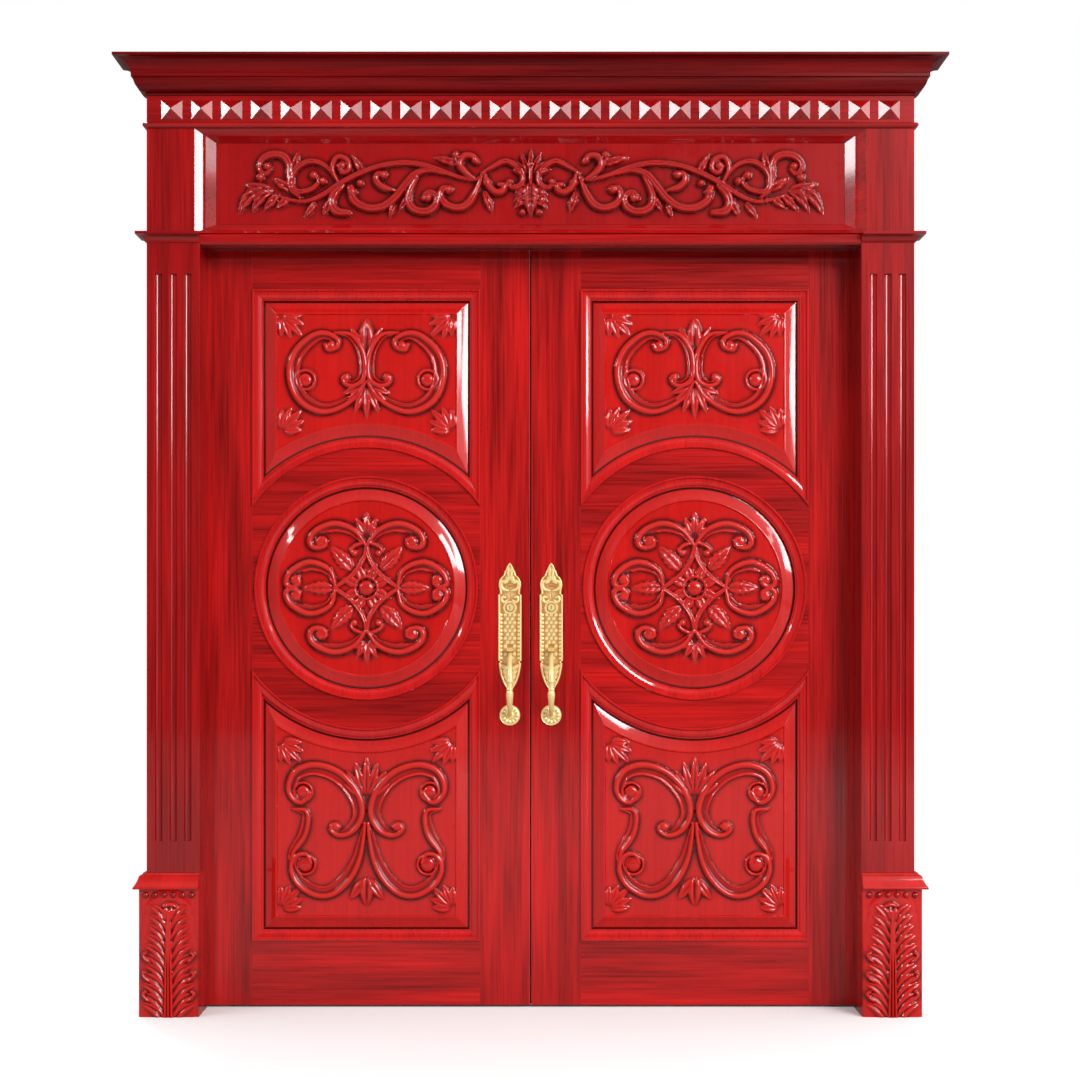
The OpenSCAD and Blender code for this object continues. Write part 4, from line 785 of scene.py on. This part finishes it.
def acanthus_plinth(name, relief, step, side, material):
    """A plinth block with its leaf on the front and a moulded ledge on top."""
    x0, x1, face, top = 908.0, 1071.0, -75.0, 350.0
    u, v = np.meshgrid(
        np.linspace(x0, x1, int((x1 - x0) / step)), np.linspace(0, top, int(top / step)))
    work = Relief(u - (x0 + x1) / 2, v)
    acanthus(work, relief)
    fade = np.clip(np.minimum(np.minimum(u - x0, x1 - u), top - v) / 4, 0, 1)
    front = np.stack([u, face - work.height * fade, v], axis=-1)
    behind = rim_of(np.stack([u, np.zeros_like(u), v], axis=-1))
    block = skin(front, [behind], material, name, work.cuts(relief))
    # Stand-out and height of the ledge: a thin lip under a splay, and a step under the pilaster.
    profile = [
        (8, 0), (14, 0.6), (15, 2), (15, 5), (12, 9), (8, 15), (4.5, 22), (2, 29), (0, 35.5), (-9, 36.5),
        (-9, 43)]
    rings = [[(x0, face - p, top + z), (x1 + p, face - p, top + z), (x1 + p, 0, top + z), (x0, 0, top + z)]
             for p, z in profile]
    faces = grid_faces(len(rings), 4, closed=True)
    faces += [(0, 1, 2, 3), tuple(4 * (len(rings) - 1) + i for i in range(4))]
    ledge = mesh_piece(name + "_ledge", np.array(rings).reshape(-1, 3) * MM, faces, material)
    for piece in (block, ledge):
        if side < 0:
            piece.data.transform(Matrix.Scale(-1, 4, (1, 0, 0)))
            piece.data.flip_normals()
    return block, ledge


class DOOR_OT_carve_plinths(bpy.types.Operator):
    """Carves the acanthus plinths under the pilasters"""
    bl_idname = "door.carve_plinths"
    bl_label = "Carve Plinths"

    def execute(self, context):
        sizes = context.scene.door_carving
        for side, word in SIDES:
            block, ledge = acanthus_plinth(
                f"{word}_plinth_carving", sizes.plinth_relief / MM, sizes.grid / MM, side, finish("panel"))
            settle(block, "frame", "carved_wood", f"{word}_plinth")
            settle(ledge, "frame", "carved_wood")
        return {"FINISHED"}


def node_tree(name, sizes):
    """A geometry node tree with named size inputs, and its input node."""
    tree = bpy.data.node_groups.new(name, "GeometryNodeTree")
    tree.interface.new_socket("Geometry", in_out="INPUT", socket_type="NodeSocketGeometry")
    for label, kind in sizes:
        tree.interface.new_socket(label, in_out="INPUT", socket_type=kind)
    tree.interface.new_socket("Geometry", in_out="OUTPUT", socket_type="NodeSocketGeometry")
    return tree, tree.nodes.new("NodeGroupInput")


def end_tree(tree, instances, material):
    """Ends a tree in real geometry with its material."""
    real = add_node(tree, "GeometryNodeRealizeInstances", inputs={0: instances})
    painted = add_node(tree, "GeometryNodeSetMaterial", inputs={0: real.outputs[0], "Material": material})
    add_node(tree, "NodeGroupOutput", inputs={0: painted.outputs[0]})


def grown(name, places, tree, values):
    """The plain mesh that a tree makes of a set of places in millimetres."""
    seed = bpy.data.meshes.new(name + "_places")
    seed.from_pydata([tuple(np.array(p) * MM) for p in places], [], [])
    piece = bpy.data.objects.new(name, seed)
    bpy.context.scene.collection.objects.link(piece)
    modifier = piece.modifiers.new("grow", "NODES")
    modifier.node_group = tree
    names = {item.name: item.identifier for item in tree.interface.items_tree if item.in_out == "INPUT"}
    for label, value in values.items():
        modifier[names[label]] = value
    bpy.context.view_layer.update()
    mesh = bpy.data.meshes.new_from_object(piece.evaluated_get(bpy.context.evaluated_depsgraph_get()))
    piece.modifiers.remove(modifier)
    piece.data = mesh
    mesh.name = name
    if not mesh.polygons:
        raise RuntimeError(name + " came out empty")
    return piece


class DOOR_OT_set_studs(bpy.types.Operator):
    """Sets the row of pyramid studs under the cornice"""
    bl_idname = "door.set_studs"
    bl_label = "Set Studs"

    def execute(self, context):
        sizes = context.scene.door_furniture
        tree, given = node_tree("stud_row", (
            ("Count", "NodeSocketInt"), ("Pitch", "NodeSocketFloat"), ("Width", "NodeSocketFloat"),
            ("Height", "NodeSocketFloat"), ("Depth", "NodeSocketFloat")))
        pitch = add_node(tree, "ShaderNodeCombineXYZ", inputs={"X": given.outputs["Pitch"]})
        row = add_node(tree, "GeometryNodeMeshLine", {"mode": "OFFSET"}, {
            "Count": given.outputs["Count"], "Offset": pitch.outputs[0]})
        first = add_node(tree, "GeometryNodeInstanceOnPoints", inputs={
            "Points": given.outputs["Geometry"], "Instance": row.outputs[0]})
        spots = add_node(tree, "GeometryNodeRealizeInstances", inputs={0: first.outputs[0]})
        # A pyramid of unit height on a unit square.
        point = add_node(tree, "GeometryNodeMeshCone", inputs={
            "Vertices": 4, "Side Segments": 3, "Radius Top": 0.0, "Radius Bottom": math.sqrt(0.5),
            "Depth": 1.0})
        squared = add_node(tree, "GeometryNodeTransform", inputs={
            0: point.outputs[0], "Rotation": (0, 0, math.pi / 4)})
        size = add_node(tree, "ShaderNodeCombineXYZ", inputs={
            "X": given.outputs["Width"], "Y": given.outputs["Height"], "Z": given.outputs["Depth"]})
        sized = add_node(tree, "GeometryNodeTransform", inputs={
            0: squared.outputs[0], "Scale": size.outputs[0]})
        turned = add_node(tree, "GeometryNodeTransform", inputs={
            0: sized.outputs[0], "Rotation": (math.pi / 2, 0, 0)})
        studs = add_node(tree, "GeometryNodeInstanceOnPoints", inputs={
            "Points": spots.outputs[0], "Instance": turned.outputs[0]})
        end_tree(tree, studs.outputs[0], finish("frame_upright"))
        low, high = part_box("nailhead_studs")
        start = (-(sizes.studs - 1) * sizes.stud_pitch / MM / 2, high[1] / MM, (low[2] + high[2]) / 2 / MM)
        piece = grown("pyramid_studs", [start], tree, {
            "Count": sizes.studs, "Pitch": sizes.stud_pitch, "Width": sizes.stud_width,
            "Height": sizes.stud_height, "Depth": sizes.stud_proud})
        settle(piece, "frame", "moulded_wood", "nailhead_studs")
        return {"FINISHED"}


def domed_heads(name, places, material, across, along, rise_axis):
    """Domed heads on a set of places: across is the radius, along the rise out of the surface."""
    tree, given = node_tree(name + "_tree", (("Radius", "NodeSocketFloat"), ("Rise", "NodeSocketFloat")))
    dome = add_node(tree, "GeometryNodeMeshUVSphere", inputs={"Segments": 14, "Rings": 8, "Radius": 1.0})
    size = add_node(tree, "ShaderNodeCombineXYZ", inputs={
        axis: given.outputs["Rise" if axis == rise_axis else "Radius"] for axis in "XYZ"})
    sized = add_node(tree, "GeometryNodeTransform", inputs={0: dome.outputs[0], "Scale": size.outputs[0]})
    smooth = add_node(tree, "GeometryNodeSetShadeSmooth", inputs={0: sized.outputs[0]})
    heads = add_node(tree, "GeometryNodeInstanceOnPoints", inputs={
        "Points": given.outputs["Geometry"], "Instance": smooth.outputs[0]})
    end_tree(tree, heads.outputs[0], material)
    return grown(name, places, tree, {"Radius": across, "Rise": along})


class DOOR_OT_set_beads(bpy.types.Operator):
    """Sets the row of beads across the top of each plinth"""
    bl_idname = "door.set_beads"
    bl_label = "Set Beads"

    def execute(self, context):
        radius = context.scene.door_furniture.bead_radius
        count, pitch, middle_x, y, z = 6, 25, 989.5, -74, 334
        places = [
            (side * (middle_x + (i - (count - 1) / 2) * pitch), y, z)
            for side, _ in SIDES for i in range(count)]
        piece = domed_heads("plinth_beads", places, finish("frame_upright"), radius, radius, "Y")
        settle(piece, "frame", "carved_wood")
        return {"FINISHED"}


class DOOR_OT_drive_screws(bpy.types.Operator):
    """Drives the screws of the hinges, the lock and its strike"""
    bl_idname = "door.drive_screws"
    bl_label = "Drive Screws"

    def execute(self, context):
        radius = context.scene.door_furniture.screw_radius
        rise = 0.7 * MM
        hinge_heights = (256, 1177, 1890)
        zigzag = ((78, -45), (92, -15), (78, 15), (92, 45))
        spots = [(y, z + up) for z in hinge_heights for y, up in zigzag]
        hinges = (("frame", 923, (-1, 1)), ("left_leaf", 920, (-1,)), ("right_leaf", 920, (1,)))
        for body, x, sides in hinges:
            places = [(side * x, y, z) for side in sides for y, z in spots]
            heads = domed_heads(f"{body}_hinge_screws", places, finish("brass"), radius, rise, "X")
            settle(heads, body, "brass")
        lock_x, lock_y, lock_heights = 2, 80, (981, 1148)
        for side, word in SIDES:
            places = [(side * lock_x, lock_y, z) for z in lock_heights]
            heads = domed_heads(f"{word}_leaf_lock_screws", places, finish("steel"), radius, rise, "X")
            settle(heads, f"{word}_leaf", "steel")
        return {"FINISHED"}


# Places of the handles in millimetres; the key and the thumb piece count from the plate's foot.
HANDLE_X = 58
PLATE_FOOT_Z = 896
GRIP_END_Z = 820
KEY_UP, THUMB_UP = 226, 111
# Half-width of a handle plate at heights over its foot, in millimetres.
PLATE_OUTLINE = (
    (0, 10), (2, 11.5), (9, 15.5), (16, 19.5), (26, 23.5), (36, 26.5), (46, 28.5), (58, 30.5), (70, 31.5),
    (72, 28.5), (75, 28.5), (77, 33), (262, 33), (264, 28.5), (270, 28.5), (276, 29.5), (283, 31.2),
    (290, 32), (297, 31.2), (304, 28.8), (311, 24.5), (316, 18.5), (322, 16.5), (328, 15), (333, 11),
    (338, 9.5), (343, 7.5), (348, 4), (351, 1.5))


def off_face(out, back):
    """The Y of points that stand out of a leaf's front or back face."""
    return BACK_Y + out if back else FRONT_Y - out


def plate_ornament(r, h):
    """Ornament of a handle plate from its foot up: a diaper of small leaves, scrolls and a leafy head."""
    r.rib([(0, 2), (0, 30), (0, 68)], 9, h, start=0.6, end=0.6)
    for z in (6, 20, 34, 48):
        r.both("leaf", [(-2, z), (-6 - 0.4 * (z + 10), z + 20)], 11, 0.9 * h)
    for i in range(12):
        z = 84 + 11 * i
        r.both("ball", [(-25.5, z)], 4.4, 0.8 * h)
        for u in ((-13, 0, 13) if i % 2 else (-6.5, 6.5)):
            if abs(z - THUMB_UP) > 14 or abs(u) > 10:
                r.leaf((u, z - 5), (u, z + 7), 8.5, 0.7 * h, vein=0.6)
    r.ball((0, KEY_UP), 11, 0.5 * h, ring=5)
    r.both("rib", [(-8, 246), (-16, 241), (-23, 246), (-21, 256), (-13, 254)], 6, h)
    r.both("rib", [(-6, 274), (-18, 277), (-25, 286), (-22, 298), (-12, 300)], 8, h, end=0.8)
    r.both("ball", [(-13, 297)], 5, h)
    r.fan((0, 296), 90, 120, 26, 5, 11, h)
    r.leaf((0, 308), (0, 349), 20, 1.1 * h, lobes=3)


def handle_plate(name, relief, side, back, material):
    """A cast plate with a raised rim, on the leaf's face or mirrored on its back."""
    table = np.array(PLATE_OUTLINE, float)
    step, columns = 2.1, 35
    up = np.unique(np.concatenate([np.arange(0, table[-1, 0], step), table[:, 0]]))
    half = np.interp(up, table[:, 0], table[:, 1])[:, None]
    # The columns stand closer together towards the plate's edges, where the rim is.
    t = np.sin(np.linspace(-0.5, 0.5, columns) * math.pi) * 0.4 + np.linspace(-1, 1, columns) * 0.6
    u, v = half * t, np.broadcast_to(up[:, None], (len(up), columns)).copy()
    work = Relief(u, v)
    plate_ornament(work, relief)
    edge = half * (1 - np.abs(t))
    rim = 0.95 * relief * np.clip(1 - ((edge - 3.2) / 2.4) ** 2, 0, 1) ** 0.5
    work.height = np.maximum(work.height, rim) * np.clip(edge / 1.2, 0.1, 1)
    shade = work.cuts(0.7 * relief)
    slot = (np.abs(u) < 9) & (np.abs(v - THUMB_UP) < 11)
    for width, low, high in ((9, 282, 289), (1.8, 250, 266)):
        dent = (np.abs(u) < width) & (v > low) & (v < high)
        work.height[dent] = -1.2
        shade[dent] = 1
    if not back:
        work.height[slot] = -3.2
        shade[slot] = 1
    key = np.hypot(u, v - KEY_UP) < 10
    work.height[key] = 0
    x, z = side * HANDLE_X + u, PLATE_FOOT_Z + v
    front = np.stack([x, off_face(4 + work.height, back), z], axis=-1)
    loop = rim_of(np.stack([x, np.full_like(x, off_face(0, back)), z], axis=-1))
    return skin(front, [loop], material, name, shade)


def pull_grip(name, side, back, material):
    """A round bowed bar with two collars, swept along a smooth path in an upright plane."""
    path = [(49, 990), (38, 982), (22, 966), (10, 944), (6, 918), (6, 896), (8, 872), (15, 850), (27, 833),
            (42, 823), (50, GRIP_END_Z)]
    # Heights on the bar from its top down, and its radius there.
    radii = (
        (990, 4.6), (975, 5.6), (955, 7.2), (932, 8.4), (919, 8.8), (916.5, 10.2), (913, 10.2), (911, 7.6),
        (903, 7.6), (897, 8.2), (895.5, 9.6), (892.5, 9.6), (891, 7.8), (884, 10), (876, 10.4), (864, 9),
        (848, 7.4), (836, 6.6), (820, 6.4))
    place, way, _ = smooth_curve(path, 1.6)
    heights, sizes = np.array(radii, float)[::-1].T
    radius = np.interp(place[:, 1], heights, sizes)[:, None]
    a = np.linspace(0, 2 * math.pi, 20, endpoint=False)
    x = side * HANDLE_X + radius * np.cos(a)
    y = place[:, :1] - radius * np.sin(a) * way[:, 1:]
    z = place[:, 1:] + radius * np.sin(a) * way[:, :1]
    # The back grip is the front one, mirrored about the middle of the leaf's thickness.
    rings = np.stack([x, FRONT_Y + BACK_Y - y if back else y, z], axis=-1)
    points = rings.reshape(-1, 3) * MM
    faces = grid_faces(len(rings), len(a), closed=True)
    faces += [tuple(range(len(a))), tuple((len(rings) - 1) * len(a) + i for i in range(len(a)))]
    return mesh_piece(name, points, faces, material, np.full(len(points), 0.2))


def rosette(name, side, back, material):
    """A round rose with petals under the lower end of a grip."""
    r = np.linspace(1, 29, 30)[:, None]
    a = np.linspace(0, 2 * math.pi, 96, endpoint=False)
    petals = 12
    petal = 0.5 + 0.5 * np.cos(petals * a)
    radii = [0, 8, 10, 12, 20, 25, 26.5, 28, 29]
    rises = [8, 8, 7.4, 5.2, 6.4, 5.6, 4.4, 5.4, 3]
    out = np.interp(r[:, 0], radii, rises)[:, None]
    wave = np.clip(1 - ((r - 19) / 6.5) ** 2, 0, 1)
    out = out + 1.4 * wave * petal
    x, z = side * HANDLE_X + r * np.cos(a), GRIP_END_Z + r * np.sin(a)
    front = np.stack([x, off_face(out, back), z], axis=-1)
    behind = np.stack([x[-1], np.full(len(a), off_face(0, back)), z[-1]], axis=-1)
    cut = np.clip(0.75 * wave * (1 - petal) + 0.5 * np.exp(-((r - 12) / 1.5) ** 2) + 0.1 + 0 * a, 0, 1)
    return skin(front, [behind], material, name, cut, closed=True)


class DOOR_OT_cast_handles(bpy.types.Operator):
    """Casts the handle plates, grips and roses of both faces"""
    bl_idname = "door.cast_handles"
    bl_label = "Cast Handles"

    def execute(self, context):
        relief = context.scene.door_furniture.plate_relief / MM
        brass = finish("brass")
        for side, word in SIDES:
            body = f"{word}_leaf"
            for back, face, plate_node, grip_nodes in (
                    (False, "front", "handle_plate", [f"{word}_pull_grip"]),
                    (True, "back", "inside_handle", [])):
                plate = handle_plate(f"{word}_{face}_plate", relief, side, back, brass)
                grip = pull_grip(f"{word}_{face}_grip", side, back, brass)
                rose = rosette(f"{word}_{face}_rose", side, back, brass)
                settle(plate, body, "brass", f"{word}_{plate_node}")
                settle(grip, body, "brass", *grip_nodes)
                settle(rose, body, "brass")
        return {"FINISHED"}


class DOOR_OT_fit_seal(bpy.types.Operator):
    """Fits the rubber fin that closes the gap between the leaves"""
    bl_idname = "door.fit_seal"
    bl_label = "Fit Seal"

    def execute(self, context):
        # The fin's section in front of the bolts, from its root on the right leaf to its lip, 0.1 mm off
        # the left one.
        section = [
            (2, 61), (2, 67), (0.6, 65.2), (-1.4, 65), (-1.9, 64.4), (-1.9, 63.6), (-1.4, 63), (0.6, 62.8)]
        foot, top = 8, 2138
        points = [(x, y, z) for z in (foot, top) for x, y in section]
        count = len(section)
        ends = [tuple(range(count)), tuple(range(count, 2 * count))]
        faces = grid_faces(2, count, closed=True) + ends
        fin = mesh_piece("meeting_seal", np.array(points) * MM, faces, finish("seal"))
        # The record has no slot for rubber, so the fin counts with the lock's steel.
        settle(fin, "right_leaf", "steel")
        return {"FINISHED"}


class DOOR_OT_finish_nodes(bpy.types.Operator):
    """Gives each plain CAD piece its timber or metal"""
    bl_idname = "door.finish_nodes"
    bl_label = "Finish Plain Pieces"

    def execute(self, context):
        words = (
            (("cornice",), "cornice"),
            (("head_jamb",), "frame_across"),
            (("hinge_plates", "hinge_pins", "thumb_piece", "key_cylinder", "handle_plate", "pull_grip",
              "inside_handle"), "brass"),
            (("lock_case", "latch_bolt", "dead_bolt", "strike", "flush_bolt"), "steel"),
            (("hinge_stile", "meeting_stile"), "leaf_upright"),
            (("panel_mouldings",), "moulding"),
            (("top_rail", "bottom_rail", "arch_rail"), "leaf_across"),
            (("_jamb", "pilaster", "frieze_block", "plinth"), "frame_upright"))
        for name, node in frame["nodes"].items():
            kind = next((k for keys, k in words if any(key in name for key in keys)), "frame_across")
            node.data.materials.clear()
            node.data.materials.append(finish(kind))
        return {"FINISHED"}


def softbox(name, place, target, width, height, power, lean=0.0):
    """A soft lamp, turned to the point that it lights and leaning over in its own plane."""
    lamp = bpy.data.lights.new(name, "AREA")
    lamp.shape = "RECTANGLE"
    lamp.size, lamp.size_y, lamp.energy = width, height, power
    stand_in = bpy.data.objects.new(name, lamp)
    stand_in.location = place
    turn = (Vector(target) - Vector(place)).to_track_quat("-Z", "Y") @ Quaternion((0, 0, 1), lean)
    stand_in.rotation_euler = turn.to_euler()
    bpy.context.scene.collection.objects.link(stand_in)


def set_camera(scene):
    """Stands the camera where the door is seen from the front, a little below its middle."""
    camera = bpy.data.cameras.new("camera")
    camera.lens, camera.sensor_width = 59.35, 36
    camera.shift_x, camera.shift_y = 0.0088, 0.0903
    camera.clip_end = 100
    viewer = bpy.data.objects.new("camera", camera)
    viewer.location = (0, -4.945, 1.038)
    viewer.rotation_euler = (math.pi / 2, 0, 0)
    scene.collection.objects.link(viewer)
    scene.camera = viewer


def light_studio(scene, fill):
    """Seamless white studio with an even light.

    In the gloss it is pale at the sides, more so on the right, and dim behind the camera and behind the
    door, so that flat timber keeps its colour and the metal and the edges shine."""
    ahead, at_left, at_right, behind = 0.04, 0.3, 0.7, 0.1
    world = bpy.data.worlds.new("studio")
    world.use_nodes = True
    tree = world.node_tree
    tree.nodes.clear()
    ray = add_node(tree, "ShaderNodeLightPath")
    mirrored = add_node(tree, "ShaderNodeMath", {"operation": "MAXIMUM"}, {
        0: ray.outputs["Is Glossy Ray"], 1: ray.outputs["Is Transmission Ray"]})
    # Each level blends into the next over a range of the ray's direction.
    way = add_node(tree, "ShaderNodeSeparateXYZ", inputs={
        0: add_node(tree, "ShaderNodeTexCoord").outputs["Generated"]})
    beside = ramp(tree, way.outputs["X"], -0.4, 0.4, at_left, at_right)
    front = ramp(tree, way.outputs["Y"], -0.92, -0.6, ahead, beside)
    around = ramp(tree, way.outputs["Y"], 0.0, 0.25, front, behind)
    level = ramp(tree, mirrored.outputs[0], 0.0, 1.0, fill, around)
    light = add_node(tree, "ShaderNodeBackground", inputs={
        "Color": (1, 1, 1, 1), "Strength": level})
    white = add_node(tree, "ShaderNodeBackground", inputs={"Color": (1, 1, 1, 1), "Strength": 1.0})
    mix = add_node(tree, "ShaderNodeMixShader", inputs={
        0: ray.outputs["Is Camera Ray"], 1: light.outputs[0], 2: white.outputs[0]})
    add_node(tree, "ShaderNodeOutputWorld", inputs={"Surface": mix.outputs[0]})
    scene.world = world


def studio_floor(colour):
    """A matt floor that keeps the door's shadow and fades to plain white away from it."""
    fade_from, fade_to, half = 1.5, 3.2, 14.0
    material, tree = new_material("matt_studio_floor")
    away = add_node(tree, "ShaderNodeVectorMath", {"operation": "LENGTH"}, {0: own_place(tree)})
    far = ramp(tree, away.outputs["Value"], fade_from, fade_to)
    ray = add_node(tree, "ShaderNodeLightPath")
    shown = add_node(tree, "ShaderNodeMath", {"operation": "MULTIPLY"}, {
        0: far, 1: ray.outputs["Is Camera Ray"]})
    # The floor is white to the camera and a mid grey to the light that it sends back.
    shade = blend(tree, ray.outputs["Is Camera Ray"], (0.3, 0.3, 0.3, 1), rgba(colour))
    matt = add_node(tree, "ShaderNodeBsdfDiffuse", inputs={"Color": shade})
    plain = add_node(tree, "ShaderNodeEmission", inputs={"Color": (1, 1, 1, 1), "Strength": 1.0})
    mix = add_node(tree, "ShaderNodeMixShader", inputs={
        0: shown.outputs[0], 1: matt.outputs[0], 2: plain.outputs[0]})
    close_material(tree, mix)
    corners = [(-half, -half, 0), (half, -half, 0), (half, half, 0), (-half, half, 0)]
    return mesh_piece("floor", corners, [(0, 1, 2, 3)], material)


class DOOR_OT_light_stage(bpy.types.Operator):
    """Sets the camera, the floor and the studio light"""
    bl_idname = "door.light_stage"
    bl_label = "Light Stage"

    def execute(self, context):
        scene = context.scene
        stage = scene.door_stage
        set_camera(scene)
        light_studio(scene, stage.fill)
        # The lamps on the right lean along the line in which the panels' right bevels mirror them.
        lean = 0.59
        softbox("near_right_softbox", (4.55, -7.7, 4.3), (0.5, 0, 1.6), 1.15, 3.9, stage.right_lamp, lean)
        softbox("far_right_softbox", (6.65, -6.8, 4.5), (1.0, 0, 1.6), 1.15, 4.5, stage.right_lamp, lean)
        softbox("left_softbox", (-7.66, -3.85, 4.95), (-1.0, 3.6, 3.6), 5.2, 0.5, stage.left_lamp)
        softbox("edge_softbox", (7.66, -3.85, 4.95), (1.0, 3.6, 3.6), 5.2, 0.5, 0.3 * stage.left_lamp)
        softbox("back_softbox", (-2.6, 4.6, 6.0), (0, 0, 1.3), 2.2, 2.2, stage.back_lamp)
        studio_floor(scene.door_colours.floor)
        scene.view_settings.view_transform = "Standard"
        return {"FINISHED"}


OPERATORS = (
    DOOR_OT_finish_nodes, DOOR_OT_carve_panels, DOOR_OT_carve_frieze, DOOR_OT_carve_plinths,
    DOOR_OT_set_studs, DOOR_OT_set_beads, DOOR_OT_fit_seal, DOOR_OT_cast_handles, DOOR_OT_drive_screws,
    DOOR_OT_light_stage)
GROUPS = (
    ("door_colours", DoorFinishColours), ("door_carving", DoorCarvingSizes),
    ("door_furniture", DoorFurnitureSizes), ("door_stage", DoorStageSizes))


class DOOR_PT_build(bpy.types.Panel):
    """Pieces of the door, and the sizes and colours that they take"""
    bl_idname = "DOOR_PT_build"
    bl_label = "Carved Double Door"
    bl_space_type = "VIEW_3D"
    bl_region_type = "UI"
    bl_category = "Door"

    def draw(self, context):
        for operator in OPERATORS:
            self.layout.operator(operator.bl_idname)
        for name, group in GROUPS:
            box = self.layout.box()
            for field in group.__annotations__:
                box.prop(getattr(context.scene, name), field)


def register():
    """Registers the classes and the scene's door settings."""
    for name, group in GROUPS:
        bpy.utils.register_class(group)
        setattr(bpy.types.Scene, name, bpy.props.PointerProperty(type=group))
    for item in OPERATORS + (DOOR_PT_build,):
        bpy.utils.register_class(item)


def unregister():
    """Removes what register added."""
    for item in reversed(OPERATORS + (DOOR_PT_build,)):
        bpy.utils.unregister_class(item)
    for name, group in reversed(GROUPS):
        delattr(bpy.types.Scene, name)
        bpy.utils.unregister_class(group)


def main():
    """Builds the door's pieces and its stage."""
    register()
    for operator in OPERATORS:
        space, name = operator.bl_idname.split(".")
        getattr(getattr(bpy.ops, space), name)()


if __name__ == "__main__":
    main()
